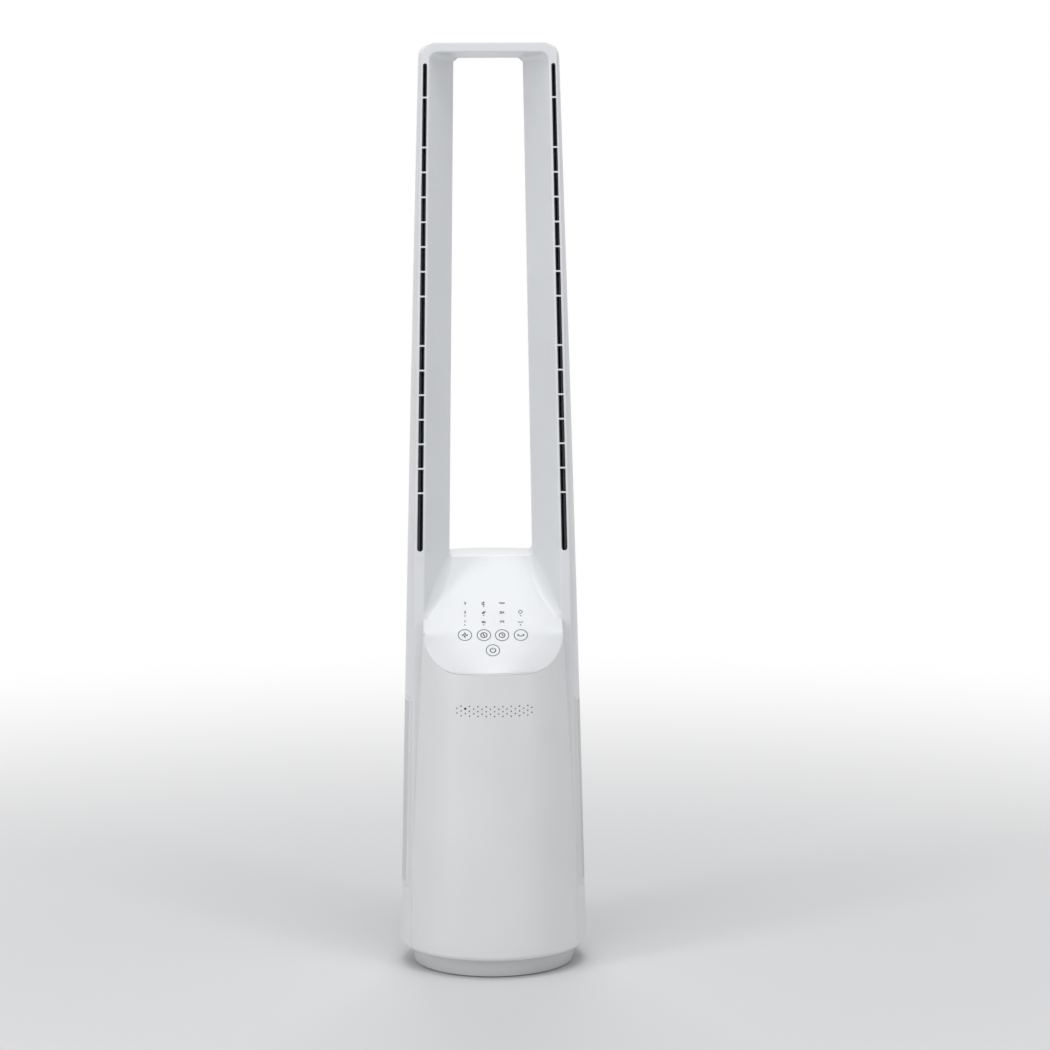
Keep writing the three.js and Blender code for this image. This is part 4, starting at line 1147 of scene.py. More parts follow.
    def _strip_rows(self, lip_end: Station) -> list[tuple[float, Vector]]:
        """Rows of the face below the mouth, from the lowest.

        Args:
            lip_end: The last station round the tongue, whose front line the rows end on.

        Returns:
            Height and inner end of each row.
        """
        rows = []
        top = lip_end.outer[1]
        for z in spread(FORM.strip_end_z, top, self.strip_cells)[:-1]:
            hidden = FORM.strip_half(min(z, FORM.strip_top_z)) - self.strip_hidden
            x = hidden if z < FORM.strip_top_z else lerp(
                hidden, FORM.panel_half, (z - FORM.strip_top_z) / (top - FORM.strip_top_z),
            )
            rows.append((z, Vector((x, FORM.face_y(z), z))))
        for point in (lip_end.outer, *lip_end.inner[:-1]):
            rows.append((point[1], self._on_front(point)))
        return rows

    def _arm(self, lip_end: Station) -> bmesh.types.BMesh:
        """The face from the foot of the strip up the arm, with the slot left open, and half of the top bar.

        Args:
            lip_end: The last station round the tongue.

        Returns:
            The mesh, in millimetres.
        """
        stations = self._arm_stations()
        profiles = []
        for z, end in self._strip_rows(lip_end):
            outer = Vector((FORM.across(z), FORM.face_y(z), z))
            setback = min(self.outer_round, (outer - end).length * self.strip_round_share)
            corner = self._rounded(self._side_point(z), outer, end, setback)
            inner = [outer.lerp(end, share) for share in self.strip_shares]
            profiles.append([self._side_point(z), *corner, *inner] + [end] * (self.funnel_cells + 2))
        below = len(profiles)
        profiles += [self._profile(station) for station in stations]
        land_column = 1 + self.round_points + len(self.strip_shares)
        slot_columns = (land_column - 2, land_column - 1)

        def skip(column: int, row: int) -> bool:
            """Cells below the mouth's wall and in the slot are left out.

            Args:
                column: The cell's column.
                row: Its row.

            Returns:
                Whether the cell is left out.
            """
            if row < below:
                return column >= land_column
            return stations[row - below].slot_above and column in slot_columns

        return sheet_mesh(len(profiles[0]) - 1, len(profiles) - 1, lambda i, j: profiles[j][i], skip)

    def _soften_mouth(self, mesh: bmesh.types.BMesh) -> None:
        """Ease the edge between the face and the slanted walls.

        Args:
            mesh: The moulding.
        """
        mesh.normal_update()
        chosen = [
            edge for edge in mesh.edges
            if len(edge.link_faces) == 2 and edge.calc_face_angle(0.0) >= self.mouth_crease
            and all(self._on_mouth(vert.co) for vert in edge.verts)
        ]
        round_edges(mesh, chosen, self.mouth_round)

    def _on_mouth(self, point: Vector) -> bool:
        """Whether a point lies on the edge between the face and the slanted walls.

        Args:
            point: The point.

        Returns:
            True where it does.
        """
        on_face = abs(point.y - FORM.face_y(point.z)) <= 0.05
        above_panel = point.z >= self._corners()[0][1] - FORM.mouth_corner[0] + 1
        inside = abs(point.x) < FORM.across(min(point.z, FORM.shoulder_z)) - 5
        return on_face and above_panel and inside and point.z < FORM.mouth_top_z + 0.1


# ---------------------------------------------------------------- grey shells
@dataclass
class FrontShell:
    """Grey lower front shell, cut out in a U for the panel, with the indicator holes."""

    gap: float = 0.12
    wall: float = 2.0
    edge: float = 0.25
    side_top: float = 371.6
    edge_behind: float = 1.9
    side_gap: float = 0.15
    least_side: float = 0.5
    evening: float = 0.8
    strip_end_blend: float = 3.0
    flat_cells: int = 12
    corner_cells: int = 22
    side_cells: int = 3
    rows: int = 48
    rim_rows: int = 6
    led_z: float = 292.0
    led_rows: int = 5
    led_columns: int = 9
    led_pitch: float = 8.9
    led_row_pitch: float = 2.6
    led_radius: float = 0.78
    receiver_radius: float = 1.3
    receiver_number: tuple[int, int] = (1, 1)
    pin_length: float = 12.0

    def build(self, book: FinishBook) -> bpy.types.Object:
        """Make the piece and give it its finish."""
        piece = Piece("front_shell_skin", Body.TOWER, Slot.SHELL, ("front_shell",))
        return piece.finish(self.shape(), [book.get(Slot.SHELL)], Edging(self.wall, self.edge), self._holes())

    def shape(self) -> bmesh.types.BMesh:
        """Make the piece's outside.

        Returns:
            The mesh, in millimetres.
        """
        path = self._top_path()
        last = len(path) - 1

        def place(i: int, j: int) -> Vector:
            """Place a point of the shell or, in the last two columns, of its side.

            Args:
                i: The point's column.
                j: Its row.

            Returns:
                The point.
            """
            x_top, z_top = path[min(i, last)]
            z = self._level(z_top, j)
            share = (z_top - z) / (z_top - FORM.rim_z)
            across = lerp(x_top / self._half(z_top), min(i, last) / last, share**self.evening)
            x = self._half(z) * across
            y = FORM.casing_y(x, z)
            if i > last:
                end = max(FORM.face_y(z) - self.side_gap, y + self.least_side)
                y = lerp(y, end, (i - last) / 2)
            return Vector((x, y, z))

        mesh = sheet_mesh(last + 2, self.rows, place)
        mirror_half(mesh)
        weld(mesh)
        face_outwards(mesh, from_axis)
        return mesh

    def _level(self, top: float, row: int) -> float:
        """Height of a row in a column that starts at some height: even steps, then the rounded rim.

        Args:
            top: Height at which the column starts.
            row: The row.

        Returns:
            The height.
        """
        even = self.rows - self.rim_rows
        start = FORM.rim_z + FORM.rim_round
        if row <= even:
            return lerp(top, start, row / even)
        return start - FORM.rim_round * math.sin(math.pi / 2 * (row - even) / self.rim_rows)

    def _half(self, z: float) -> float:
        """Half width of the shell at a height.

        Args:
            z: The height.

        Returns:
            The half width.
        """
        strip = FORM.strip_half(z)
        low = FORM.across(z, self.edge_behind)
        share = clamp((z - FORM.strip_end_z + self.strip_end_blend) / (2 * self.strip_end_blend))
        return min(lerp(low, strip, share), low)

    def _top_path(self) -> list[Point]:
        """Follow the upper edge.

        Returns:
            Its points as (x, z), from the middle to the side.
        """
        corner = FORM.panel_corner + self.gap
        centre = (FORM.panel_half - FORM.panel_corner, FORM.panel_z + FORM.panel_corner)
        points = [(x, centre[1] - corner) for x in spread(0.0, centre[0], self.flat_cells)[:-1]]
        points += [low_corner(centre, corner, turn) for turn in spread(0.0, 1.0, self.corner_cells)]
        side = FORM.panel_half + self.gap
        points += [(side, z) for z in spread(centre[1], self.side_top, self.side_cells)[1:]]
        points.append((self._half(self.side_top), self.side_top))
        return points

    def _holes(self) -> bmesh.types.BMesh:
        """Pins that cut the staggered rows of indicator holes.

        Returns:
            The cutter, in millimetres.
        """
        mesh = bmesh.new()
        for row in range(self.led_rows):
            count = self.led_columns + row % 2
            z = self.led_z + self.led_row_pitch * ((self.led_rows - 1) / 2 - row)
            for i in range(count):
                wide = (row, i) == self.receiver_number
                radius = self.receiver_radius if wide else self.led_radius
                x = self.led_pitch * (i - (count - 1) / 2)
                place = Matrix.Translation((x, FORM.casing_y(x, z), z)) @ LYING
                add_pin(mesh, place, radius, self.pin_length, 12)
        return mesh


@dataclass
class RearShell:
    """Grey shell round the sides, the back and the top, with the tunnel behind the throat."""

    behind_face: float = 2.7
    wall: float = 2.0
    edge: float = 0.5
    draft: float = 1.5
    throat_gap: float = 0.3
    side_least: float = 4.7
    rear_y: float = 30.0
    cover_edge: float = -34.0
    cover_z: tuple[float, float] = (88.0, 297.0)
    side_cells: int = 3
    wide_cells: int = 26
    hole_cells: int = 12
    round_cells: int = 6
    cap_cells: int = 4
    hole_pitch: float = 2.25
    hole_columns: int = 3
    hole_radius: float = 0.55
    pin_length: float = 8.0

    def build(self, book: FinishBook) -> bpy.types.Object:
        """Make the piece and give it its finish."""
        piece = Piece("rear_shell_skin", Body.TOWER, Slot.SHELL, ("rear_shell",))
        edging = Edging(self.wall, self.edge)
        return piece.finish(self.shape(), [book.get(Slot.SHELL)], edging, self._side_holes())

    def shape(self) -> bmesh.types.BMesh:
        """Make the piece's outside, with the tunnel.

        Returns:
            The mesh, in millimetres.
        """
        heights = self._heights()
        top = len(heights) - 1
        hole_start = self.side_cells + self.wide_cells
        columns = hole_start + self.hole_cells

        def place(i: int, j: int) -> Vector:
            """Place a point of the shell or, in the last rows, of its flat top.

            Args:
                i: The point's column.
                j: Its row.

            Returns:
                The point.
            """
            z = heights[min(j, top)]
            point = FORM.at(self._angle(i, z), z)
            if j > top:
                line_y = FORM.face_y(FORM.height) + self.behind_face
                edge = FORM.across(FORM.height, self.behind_face) * (1 - i / columns)
                point = point.lerp(Vector((edge, line_y, z)), (j - top) / self.cap_cells)
            return point

        def skip(column: int, row: int) -> bool:
            """Cells of the cover's window and of the loop's rear opening are left out.

            Args:
                column: The cell's column.
                row: Its row.

            Returns:
                Whether the cell is left out.
            """
            if row >= top:
                return False
            middle = (heights[row] + heights[row + 1]) / 2
            window = column >= self.side_cells and self.cover_z[0] < middle < self.cover_z[1]
            return window or (column >= hole_start and FORM.sill_z < middle < self._hole_top())

        mesh = sheet_mesh(columns, top + self.cap_cells, place, skip)
        mirror_half(mesh)
        weld(mesh)
        self._tunnel(mesh)
        face_outwards(mesh, self._outward)
        return mesh

    def _side_holes(self) -> bmesh.types.BMesh:
        """Pins that cut the staggered holes in front of the rear cover, on both sides.

        Returns:
            The cutter, in millimetres.
        """
        mesh = bmesh.new()
        for row in range(int((self.cover_z[1] - self.cover_z[0]) / self.hole_pitch) - 1):
            z = self.cover_z[0] + self.hole_pitch * (row + 1)
            radius = FORM.radius(z)
            start = math.asin((FORM.face_y(z) + self.behind_face) / radius)
            end = math.asin(self.cover_edge / radius)
            for column in range(1, self.hole_columns + 1):
                angle = lerp(start, end, (column - 0.25 + 0.5 * (row % 2)) / (self.hole_columns + 1))
                for side in (angle, math.pi - angle):
                    out = Vector((math.cos(side), math.sin(side), 0.0))
                    turn = out.to_track_quat("Z", "Y").to_matrix().to_4x4()
                    place = Matrix.Translation(out * radius + Vector((0.0, 0.0, z))) @ turn
                    add_pin(mesh, place, self.hole_radius, self.pin_length, 8)
        return mesh

    def _outward(self, point: Vector) -> Vector:
        """Direction out of the casing's outside; nothing in the tunnel."""
        outside = abs(point.xy.length - FORM.radius(point.z)) < 1 and point.z < FORM.shoulder_z
        return from_axis(point) if outside else Vector()

    def _heights(self) -> list[float]:
        """Heights of the rows, from the rim to the top.

        Returns:
            The heights, in order.
        """
        corner = FORM.throat_corner
        turns = [math.radians(angle) for angle in spread(0.0, 90.0, 4)[1:]]
        start = FORM.rim_z + FORM.rim_round
        heights = [start - FORM.rim_round * math.sin(math.radians(turn)) for turn in spread(90.0, 0.0, 6)[:-1]]
        heights += spread(start, self.cover_z[0], 4)
        heights += spread(*self.cover_z, 12)[1:]
        heights += spread(self.cover_z[1], FORM.sill_z, 9)[1:]
        heights += [FORM.sill_z + corner * (1 - math.cos(turn)) for turn in turns]
        heights += spread(FORM.sill_z + corner, FORM.throat_top_z - corner, 24)[1:]
        heights += [FORM.throat_top_z - corner * (1 - math.cos(turn)) for turn in turns[-2::-1]]
        heights.append(FORM.throat_top_z)
        for cell in range(self.round_cells):
            angle = math.pi / 2 * (cell + 1) / self.round_cells
            heights.append(FORM.shoulder_z + FORM.top_round * math.sin(angle))
        return heights

    def _hole_top(self) -> float:
        """Height of the rear opening's top, on the rounded shoulder."""
        return FORM.shoulder_z + FORM.top_round * math.sin(math.pi / 2 / self.round_cells)

    def _hole_half(self, z: float, draft: float) -> float:
        """Half width of the tunnel's rear opening at a height, with its corners.

        Args:
            z: The height.
            draft: How much wider the opening is than the throat.

        Returns:
            The half width.
        """
        level = clamp(z, FORM.sill_z, self._hole_top())
        half = FORM.throat_at(level) + draft
        near = min(level - FORM.sill_z, self._hole_top() - level)
        if near < FORM.throat_corner:
            half -= FORM.throat_corner - math.sqrt(FORM.throat_corner**2 - (FORM.throat_corner - near) ** 2)
        return half

    def _angle(self, column: int, z: float) -> float:
        """Angle of a column at a height, from the right-hand side towards the back.

        Args:
            column: The column.
            z: The height.

        Returns:
            The angle, in radians.
        """
        radius = FORM.radius(z)
        start = math.asin((FORM.face_y(z) + self.behind_face) / radius)
        cover = math.asin(max(self.cover_edge, FORM.face_y(z) + self.behind_face + self.side_least) / radius)
        hole = math.acos(self._hole_half(z, self.draft) / radius)
        if column <= self.side_cells:
            return lerp(start, cover, column / self.side_cells)
        column -= self.side_cells
        if column <= self.wide_cells:
            return lerp(cover, hole, column / self.wide_cells)
        return lerp(hole, math.pi / 2, (column - self.wide_cells) / self.hole_cells)

    def _at_hole(self, point: Vector) -> bool:
        """Whether a point lies at the back, at the height of the rear opening."""
        return point.y > self.rear_y and FORM.sill_z - 1 < point.z < self._hole_top() + 1

    def _tunnel(self, mesh: bmesh.types.BMesh) -> None:
        """Run the edge of the rear opening forward to the throat.

        Args:
            mesh: The shell.
        """
        rim = [
            edge for edge in mesh.edges
            if edge.is_boundary and all(self._at_hole(vert.co) for vert in edge.verts)
        ]
        fall = (FORM.throat_top_z - FORM.sill_z) / (self._hole_top() - FORM.sill_z)
        for vert in extrude_edges(mesh, rim):
            vert.co.x *= self._hole_half(vert.co.z, 0.0) / self._hole_half(vert.co.z, self.draft)
            vert.co.z = FORM.sill_z + (vert.co.z - FORM.sill_z) * fall
            vert.co.y = FORM.throat_y(vert.co.z) + self.throat_gap


@dataclass
class RearCover:
    """Removable rear cover with its fine perforation; the holes' walls carry painted shade."""

    gap: float = 0.3
    edge_y: float = -34.0
    bottom_z: float = 88.0
    top_z: float = 297.0
    wall: float = 2.2
    columns: int = 168
    rows: int = 92
    border: int = 2
    land: float = 0.5
    depth: float = 1.4

    def build(self, book: FinishBook) -> bpy.types.Object:
        """Make the piece and give it its finish."""
        piece = Piece("rear_cover_skin", Body.REAR_COVER, Slot.SHELL, ("rear_grille_cover",))
        # the second material, the dark filter foam, goes on the holes' bottoms, which stand for the filter
        # behind, and on their walls as painted shade
        return piece.finish(self.shape(), [book.get(Slot.SHELL), book.get(Slot.FOAM)], Edging())

    def shape(self) -> bmesh.types.BMesh:
        """Make the piece's wall, with its holes.

        Returns:
            The mesh, in millimetres.
        """
        mesh = sheet_mesh(self.columns, self.rows, self._place)
        face_outwards(mesh, from_axis)
        holes = self._checkerboard(mesh)
        bmesh.ops.solidify(mesh, geom=mesh.faces[:], thickness=self.wall)
        self._perforate(mesh, holes)
        return mesh

    def _start(self, z: float) -> float:
        """Angle of the cover's right-hand edge at a height."""
        return math.asin((self.edge_y + self.gap) / FORM.radius(z))

    def _place(self, i: int, j: int) -> Vector:
        """The point of the outside in a column and a row."""
        z = lerp(self.bottom_z + self.gap, self.top_z - self.gap, j / self.rows)
        return FORM.at(lerp(self._start(z), math.pi - self._start(z), i / self.columns), z)

    def _checkerboard(self, mesh: bmesh.types.BMesh) -> list[Vector]:
        """Choose the cells that get a hole: every second one, apart from a plain border.

        Args:
            mesh: The cover's outside.

        Returns:
            The cells' middles.
        """
        height = self.top_z - self.bottom_z - 2 * self.gap
        middles = []
        for face in mesh.faces:
            centre = face.calc_center_median()
            row = int((centre.z - self.bottom_z - self.gap) / height * self.rows)
            start = self._start(centre.z)
            turn = math.atan2(centre.y, centre.x)
            if turn < -math.pi / 2:
                turn += 2 * math.pi
            column = int((turn - start) / (math.pi - 2 * start) * self.columns)
            inside = self.border <= row < self.rows - self.border
            inside = inside and self.border <= column < self.columns - self.border
            if inside and (row + column) % 2:
                middles.append(centre)
        return middles

    def _rough(self, point: Vector) -> tuple[float, ...]:
        """A point to the nearest tenth of a millimetre, to tell cells by."""
        return tuple(round(part, 1) for part in point)

    def _perforate(self, mesh: bmesh.types.BMesh, middles: list[Vector]) -> None:
        """Sink a small hole into each chosen cell of the outside, and give each hole's bottom and walls the
        dark foam material. The bottom stands for the filter behind the cover; the darkened walls are painted
        shade.

        Args:
            mesh: The cover with its wall.
            middles: Middles of those cells.
        """
        wanted = {self._rough(middle) for middle in middles}
        cells = [
            face for face in mesh.faces
            if len(face.verts) == 4 and self._rough(face.calc_center_median()) in wanted
            and face.normal.dot(from_axis(face.verts[0].co)) > 0
        ]
        bmesh.ops.inset_individual(mesh, faces=cells, thickness=self.land, use_even_offset=True)
        made = bmesh.ops.extrude_discrete_faces(mesh, faces=cells)
        for face in made["faces"]:
            # painted shade: each hole's walls, like its bottom, take the dark filter foam material (index 1),
            # though the walls are shell plastic
            for side in {other for edge in face.edges for other in edge.link_faces}:
                side.material_index = 1
            sink = face.normal * -self.depth
            for vert in face.verts:
                vert.co += sink


@dataclass
class FootShell:
    """Round foot with its deck and the hole for the gland."""

    bottom_z: float = 1.0
    top_z: float = 19.0
    bottom_radius: float = 87.6
    flare: float = 2.4
    wall: float = 3.0
    deck_radius: float = 58.0
    top_edge: float = 1.4
    bottom_edge: float = 0.6
    steps: int = 144
    gland_radius: float = 4.5
    gland_z: float = 10.0
    pin_length: float = 12.0

    def build(self, book: FinishBook) -> bpy.types.Object:
        """Make the piece and give it its finish."""
        piece = Piece("foot_shell_skin", Body.BASE, Slot.FOOT, ("foot_shell",))
        return piece.finish(self.shape(), [book.get(Slot.FOOT)], Edging(), self._gland_hole())

    def shape(self) -> bmesh.types.BMesh:
        """Make the piece's wall and deck.

        Returns:
            The mesh, in millimetres.
        """
        top_radius = self.bottom_radius + self.flare
        deck = self.top_z - self.wall
        profile = [
            (self.bottom_radius, self.bottom_z), (top_radius, self.top_z),
            (self.deck_radius, self.top_z), (self.deck_radius, deck),
            (top_radius - self.wall, deck), (self.bottom_radius - self.wall, self.bottom_z),
        ]
        mesh = bmesh.new()
        corners = [mesh.verts.new((radius, 0.0, z)) for radius, z in profile]
        edges = [mesh.edges.new((corners[i - 1], corners[i])) for i in range(len(corners))]
        bmesh.ops.spin(
            mesh, geom=corners + edges, cent=(0.0, 0.0, 0.0), axis=(0.0, 0.0, 1.0), angle=2 * math.pi,
            steps=self.steps, use_merge=True,
        )
        weld(mesh)
        bmesh.ops.recalc_face_normals(mesh, faces=mesh.faces[:])
        self._round_rims(mesh)
        return mesh

    def _gland_hole(self) -> bmesh.types.BMesh:
        """The pin that cuts the gland's hole in the foot's back.

        Returns:
            The cutter, in millimetres.
        """
        mesh = bmesh.new()
        place = Matrix.Translation((0.0, self.bottom_radius, self.gland_z)) @ LYING
        add_pin(mesh, place, self.gland_radius, self.pin_length, 40)
        return mesh

    def _round_rims(self, mesh: bmesh.types.BMesh) -> None:
        """Round the outer edges at the top and the bottom.

        Args:
            mesh: The foot.
        """
        for z, width in ((self.top_z, self.top_edge), (self.bottom_z, self.bottom_edge)):
            rim = [
                edge for edge in mesh.edges
                if all(abs(vert.co.z - z) < WELD for vert in edge.verts)
                and all(vert.co.xy.length > self.bottom_radius - 1 for vert in edge.verts)
            ]
            round_edges(mesh, rim, width)


# ---------------------------------------------------------------- print on the panel
class KeySign(Enum):
    """What the touch keys show."""

    FAN = "fan"
    MODE = "mode"
    TIMER = "timer"
    SWING = "swing"
    POWER = "power"


Line = tuple[list[Point], bool]  # its points, and whether it is closed


def arc_line(radius: float, start: float, end: float, centre: Point = (0.0, 0.0)) -> Line:
    """A drawn arc.

    Args:
        radius: Its radius.
        start: Angle at which it starts, in degrees.
        end: Angle at which it ends.
        centre: Its centre.

    Returns:
        Its points, and whether it is closed.
    """
    closed = abs(end - start) >= 360
    cells = max(6, int(abs(end - start) / 12))
    points = [on_circle(centre, radius, math.radians(angle)) for angle in spread(start, end, cells)]
    return (points[:-1] if closed else points, closed)


@dataclass
class PanelPrint:
    """Key circles, key signs and indicator marks, printed on the panel."""

    lift: float = 0.12
    key_radius: float = 7.2
    circle_line: float = 0.85
    sign_line: float = 1.05
    blade_width: float = 1.35
    small_line: float = 0.75
    text_height: float = 4.3
    text_weight: float = 0.17
    long_text_share: float = 0.55
    circle_ink: float = 0.06
    sign_ink: float = 0.03
    dot_radius: float = 0.75
    keys: tuple[tuple[KeySign, float, float], ...] = (
        (KeySign.FAN, -30.5, 369.0),
        (KeySign.MODE, -10.1, 368.9),
        (KeySign.TIMER, 9.4, 368.7),
        (KeySign.SWING, 29.6, 368.5),
        (KeySign.POWER, -0.9, 354.5),
    )
    words: tuple[tuple[str, float, float], ...] = (
        ("3", -29.7, 399.5),
        ("2", -29.9, 390.8),
        ("1", -30.1, 382.1),
        ("8H/4H", 10.1, 399.3),
        ("2H", 9.8, 390.3),
        ("1H", 9.5, 381.6),
    )
    dots: tuple[tuple[float, float], ...] = (
        (-30.0, 387.3), (-30.2, 378.7), (-9.7, 396.2), (-9.9, 387.6), (-10.1, 378.7),
        (29.9, 387.1), (29.6, 378.3),
    )

    def build(self, book: FinishBook) -> list[bpy.types.Object]:
        """Make the print.

        Args:
            book: The finishes.

        Returns:
            The objects: the key circles and all signs.
        """
        circles = bmesh.new()
        signs = bmesh.new()
        for sign, x, z in self.keys:
            self._draw(circles, [arc_line(self.key_radius, 0, 360)], x, z, self.circle_line)
            width = self.blade_width if sign is KeySign.FAN else self.sign_line
            self._draw(signs, self._sign(sign), x, z, width)
        for lines, x, z in self._indicator_signs():
            self._draw(signs, lines, x, z, self.small_line)
        for x, z in self.dots:
            self._draw(signs, [arc_line(self.dot_radius / 2, 0, 360)], x, z, self.dot_radius)
        for text, x, z in self.words:
            self._write(signs, text, x, z)
        made = []
        prints = (("key_circles", circles, self.circle_ink), ("key_signs", signs, self.sign_ink))
        for name, mesh, grey in prints:
            face_outwards(mesh, frontwards)
            piece = Piece(name, Body.TOWER, Slot.BLACK, ())
            made.append(piece.finish(mesh, [book.ink(name + "_ink", grey)], Edging()))
        return made

    def _lay(self, x: float, up: float, middle: Point) -> Vector:
        """Where a point of a drawing comes to lie on the panel.

        Args:
            x: Place across, from the drawing's middle.
            up: Place up the slope, from there.
            middle: The drawing's middle, as (x, z).

        Returns:
            The point.
        """
        z = middle[1] + up * math.sin(FORM.panel_tilt)
        place = Vector((middle[0] + x, FORM.panel_y(middle[0] + x, z), z))
        return place + Vector((0.0, -math.sin(FORM.panel_tilt), math.cos(FORM.panel_tilt))) * self.lift

    def _draw(self, mesh: bmesh.types.BMesh, lines: list[Line], x: float, z: float, width: float) -> None:
        """Draw lines of some width round a middle on the panel.

        Args:
            mesh: The print; the lines are added to it.
            lines: The lines.
            x: The middle's place across.
            z: Its height.
            width: Width of the lines.
        """
        for points, closed in lines:
            count = len(points)
            sides = []
            for i, point in enumerate(points):
                before = Vector(points[i - 1] if closed or i else point)
                after = Vector(points[(i + 1) % count] if closed or i + 1 < count else point)
                along = (after - before).normalized()
                sides.append(Vector((-along.y, along.x)) * width / 2)
            low = [mesh.verts.new(self._lay(p[0] - s.x, p[1] - s.y, (x, z))) for p, s in zip(points, sides)]
            steps = range(count) if closed else range(count - 1)
            edges = [mesh.edges.new((low[i], low[(i + 1) % count])) for i in steps]
            fresh = set(extrude_edges(mesh, edges))
            for vert, point, side in zip(low, points, sides):
                for edge in vert.link_edges:
                    other = edge.other_vert(vert)
                    if other in fresh:
                        other.co = self._lay(point[0] + side.x, point[1] + side.y, (x, z))

    def _write(self, mesh: bmesh.types.BMesh, text: str, x: float, z: float) -> None:
        """Write a few characters round a middle on the panel.

        Args:
            mesh: The print; the characters are added to it.
            text: The characters.
            x: The middle's place across.
            z: Its height.
        """
        curve = bpy.data.curves.new("print", "FONT")
        curve.body = text
        curve.size = self.text_height * (self.long_text_share if len(text) > 2 else 1.0)
        curve.offset = self.text_weight
        curve.align_x = "CENTER"
        curve.align_y = "CENTER"
        writing = into_scene("print", curve)
        graph = bpy.context.evaluated_depsgraph_get()
        flat = bpy.data.meshes.new_from_object(writing.evaluated_get(graph))
        bpy.data.objects.remove(writing)
        for vert in flat.vertices:
            vert.co = self._lay(vert.co.x, vert.co.y, (x, z))
        mesh.from_mesh(flat)
        bpy.data.meshes.remove(flat)

    def _sign(self, sign: KeySign) -> list[Line]:
        """The lines of a key's sign.

        Args:
            sign: The sign.

        Returns:
            Its lines, round the key's middle.
        """
        if sign is KeySign.FAN:
            lines = []
            for turn in range(4):
                points = []
                for share in spread(0.0, 1.0, 5):
                    angle = math.radians(90 * turn - 35 + 50 * share)
                    points.append(on_circle((0.0, 0.0), lerp(0.7, 3.3, share), angle))
                lines.append((points, False))
            return lines
        if sign is KeySign.MODE:
            bows = [arc_line(0.85, 90, 270, (0.0, 0.85)), arc_line(0.85, -90, 90, (0.0, -0.85))]
            return [arc_line(3.3, 0, 360), *bows]
        if sign is KeySign.TIMER:
            return [arc_line(3.1, 0, 360), ([(0.0, 2.0), (0.0, 0.0), (1.5, -0.9)], False)]
        if sign is KeySign.SWING:
            tips = [([(side * 2.2, 0.9), (side * 3.5, 0.75), (side * 3.2, -0.6)], False) for side in (-1, 1)]
            return [arc_line(4.4, 226, 314, (0.0, 3.2)), *tips]
        return [arc_line(2.9, 120, 420), ([(0.0, 3.6), (0.0, 0.6)], False)]

    def _indicator_signs(self) -> list[tuple[list[Line], float, float]]:
        """Small signs of the indicator rows: a moon, a wave, a leaf, a ring and an arc.

        Returns:
            The lines of each, and its middle's place across and height.
        """
        moon = [arc_line(1.9, 60, 300), arc_line(1.5, 80, 280, (1.0, 0.0))]
        wave = [
            ([(-2.0 + 0.4 * i, 0.55 * math.sin(i * 1.25) + rise) for i in range(11)], False)
            for rise in (-0.7, 0.7)
        ]
        blade = [(-1.7, -1.2), (-0.9, 0.7), (0.6, 1.4), (1.8, 1.5), (1.6, 0.1), (0.6, -1.0), (-0.9, -1.1)]
        leaf = [(blade, True), ([(-1.9, -1.7), (0.8, 0.6)], False)]
        ring = [arc_line(1.95, 0, 360)]
        bow = [arc_line(3.0, 222, 318, (0.0, 2.0)), ([(-2.6, -0.9), (-2.2, 0.3)], False),
               ([(2.6, -0.9), (2.2, 0.3)], False)]
        return [
            (moon, -9.6, 399.1), (leaf, -9.85, 390.4), (wave, -10.1, 381.3),
            (ring, 29.9, 390.7), (bow, 29.55, 381.4),
        ]


# ---------------------------------------------------------------- carried-over pieces
@dataclass
class Insides:
    """The CAD model's own pieces that stay, each in its slot's finish."""

    nodes: dict[str, bpy.types.Object]
    record: dict

    def dress(self, book: FinishBook) -> None:
        """Give every CAD node the finish of its slot.

        Args:
            book: The finishes.
        """
        for entry in self.record["subparts"]:
            thing = self.nodes[entry["node"]]
            material = book.get(Slot(entry["material_slot"]))
            if not thing.material_slots:
                thing.data.materials.append(material)
            for place in thing.material_slots:
                place.material = material
        log.info("%d CAD nodes dressed", len(self.record["subparts"]))


# ---------------------------------------------------------------- studio
@dataclass(frozen=True)
class SoftBox:
    """A large soft lamp aimed at a point of the object."""

    name: str
    place: tuple[float, float, float]
    aim: tuple[float, float, float]
    size: tuple[float, float]
    power: float

    def hang(self) -> None:
        """Put the lamp into the scene."""
        lamp = bpy.data.lights.new(self.name, "AREA")
        lamp.shape = "RECTANGLE"
        lamp.size, lamp.size_y = self.size
        lamp.energy = self.power
        thing = into_scene(self.name, lamp)
        thing.location = self.place
        thing.rotation_euler = (Vector(self.aim) - Vector(self.place)).to_track_quat("-Z", "Y").to_euler()


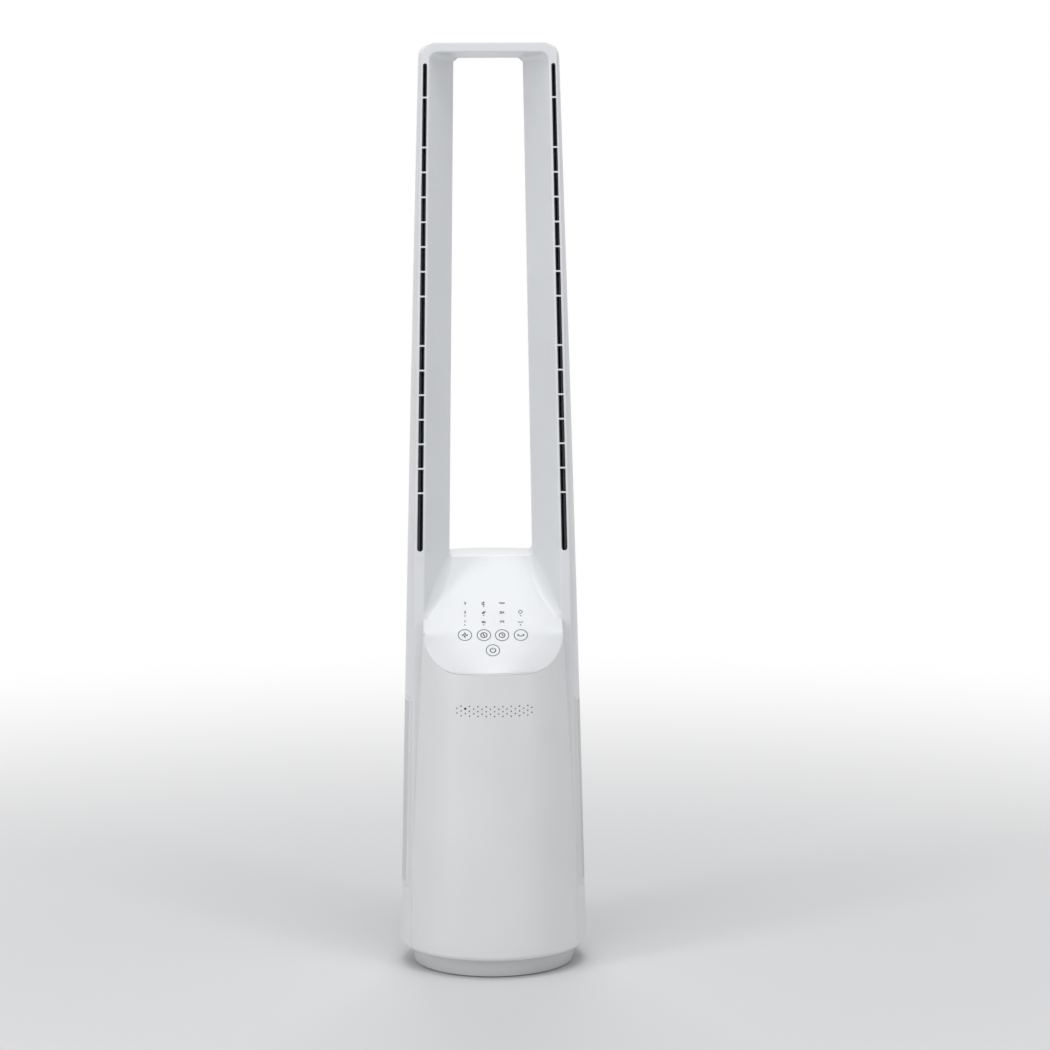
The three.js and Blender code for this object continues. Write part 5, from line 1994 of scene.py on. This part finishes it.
@dataclass
class Studio:
    """Pale floor, white surroundings, soft lamps and the camera."""

    camera_place: tuple[float, float, float] = (-0.0817114, -3.242999, 0.858813)
    tilt: float = math.radians(6.6455)
    pan: float = math.radians(2.0907)
    roll: float = math.radians(-0.251)
    lens: float = 102.857
    sensor: float = 36.0
    fill: float = 0.38
    fill_colour: Colour = (0.97, 0.985, 1.0)
    floor_tone: float = 0.7
    floor_radius: float = 6.0
    floor_fade: tuple[float, float] = (0.35, 2.2)
    lamps: tuple[SoftBox, ...] = (
        SoftBox("left_lamp", (-2.3, -1.8, 1.0), (0.0, 0.0, 0.45), (0.6, 2.4), 25.0),
        SoftBox("right_lamp", (1.9, -2.1, 1.0), (0.0, 0.0, 0.45), (0.4, 2.4), 13.0),
        SoftBox("top_lamp", (0.0, -0.9, 3.3), (0.0, -0.1, 0.4), (2.0, 1.6), 44.0),
        SoftBox("rear_lamp", (0.0, 2.4, 2.4), (0.0, 0.0, 0.5), (1.8, 1.6), 26.0),
    )

    def set_up(self) -> None:
        """Build the whole studio."""
        self._camera()
        self._world()
        self._floor()
        for lamp in self.lamps:
            lamp.hang()
        bpy.context.scene.view_settings.view_transform = "Standard"
        log.info("studio with %d lamps", len(self.lamps))

    def _camera(self) -> None:
        """Place the camera where the photograph was taken from."""
        sin_pan, cos_pan = math.sin(self.pan), math.cos(self.pan)
        forward = Vector((sin_pan * math.cos(self.tilt), cos_pan * math.cos(self.tilt), -math.sin(self.tilt)))
        right = Vector((cos_pan, -sin_pan, 0.0))
        up = right.cross(forward)
        side = right * math.cos(self.roll) + up * math.sin(self.roll)
        top = up * math.cos(self.roll) - right * math.sin(self.roll)
        turn = Matrix((side, top, -forward)).transposed().to_4x4()
        data = bpy.data.cameras.new("camera")
        data.lens = self.lens
        data.sensor_width = self.sensor
        camera = into_scene("camera", data)
        camera.matrix_world = Matrix.Translation(self.camera_place) @ turn
        bpy.context.scene.camera = camera

    def _white_where_seen(self, tree: bpy.types.NodeTree) -> bpy.types.NodeSocket:
        """Tell the rays that see the surroundings from those that light the object.

        Args:
            tree: The node tree that needs it.

        Returns:
            A socket that is 1 for rays from the camera, or seen in a mirror or through glass.
        """
        rays = put(tree, "LightPath")
        value = rays.outputs["Is Camera Ray"]
        for name in ("Is Glossy Ray", "Is Transmission Ray"):
            either = put(tree, "Math", {0: value, 1: rays.outputs[name]})
            either.operation = "MAXIMUM"
            value = either.outputs[0]
        return value

    def _world(self) -> None:
        """Even fill light with a white background."""
        world = bpy.data.worlds.new("surroundings")
        bpy.context.scene.world = world
        world.use_nodes = True
        tree = world.node_tree
        soft = tree.nodes["Background"]
        feed(soft, {"Color": (*self.fill_colour, 1.0), "Strength": self.fill})
        white = put(tree, "Background", {"Color": (1.0, 1.0, 1.0, 1.0)})
        mix = put(tree, "MixShader", {0: self._white_where_seen(tree), 1: soft.outputs[0], 2: white.outputs[0]})
        feed(tree.nodes["World Output"], {"Surface": mix.outputs[0]})

    def _floor(self) -> None:
        """A pale round floor that fades into the white surroundings."""
        mesh = bmesh.new()
        bmesh.ops.create_circle(mesh, cap_ends=True, segments=96, radius=self.floor_radius)
        floor = mesh_object("floor", mesh)
        floor.data.materials.append(self._floor_paper())

    def _floor_paper(self) -> bpy.types.Material:
        """Matt paper that turns into a white glow away from the object.

        Returns:
            The material.
        """
        sheet = NodeSheet("floor_paper")
        tree = sheet.tree
        tone = (self.floor_tone, self.floor_tone, self.floor_tone * 1.01, 1.0)
        feed(sheet.shader, {"Base Color": tone, "Roughness": 0.9, "Specular IOR Level": 0.1})
        length = put(tree, "VectorMath", {0: sheet.place})
        length.operation = "LENGTH"
        near, far = self.floor_fade
        fade = put(tree, "MapRange", {
            "Value": length.outputs["Value"], "From Min": near, "From Max": far, "To Min": 0.0, "To Max": 1.0,
        })
        fade.interpolation_type = "SMOOTHSTEP"
        both = put(tree, "Math", {0: fade.outputs["Result"], 1: self._white_where_seen(tree)})
        both.operation = "MULTIPLY"
        glow = put(tree, "Emission")
        mix = put(tree, "MixShader", {0: both.outputs[0], 1: sheet.shader.outputs[0], 2: glow.outputs[0]})
        feed(tree.nodes["Material Output"], {"Surface": mix.outputs[0]})
        return sheet.material


def main() -> None:
    """Build the looks of the fan in order."""
    logging.basicConfig(level=logging.INFO, format="%(name)s: %(message)s")
    book = FinishBook()
    Studio().set_up()
    Insides(frame["nodes"], frame["record"]).dress(book)
    FrontFrame().build(book)
    FrontShell().build(book)
    RearShell().build(book)
    RearCover().build(book)
    FootShell().build(book)
    PanelPrint().build(book)


if __name__ == "__main__":
    main()
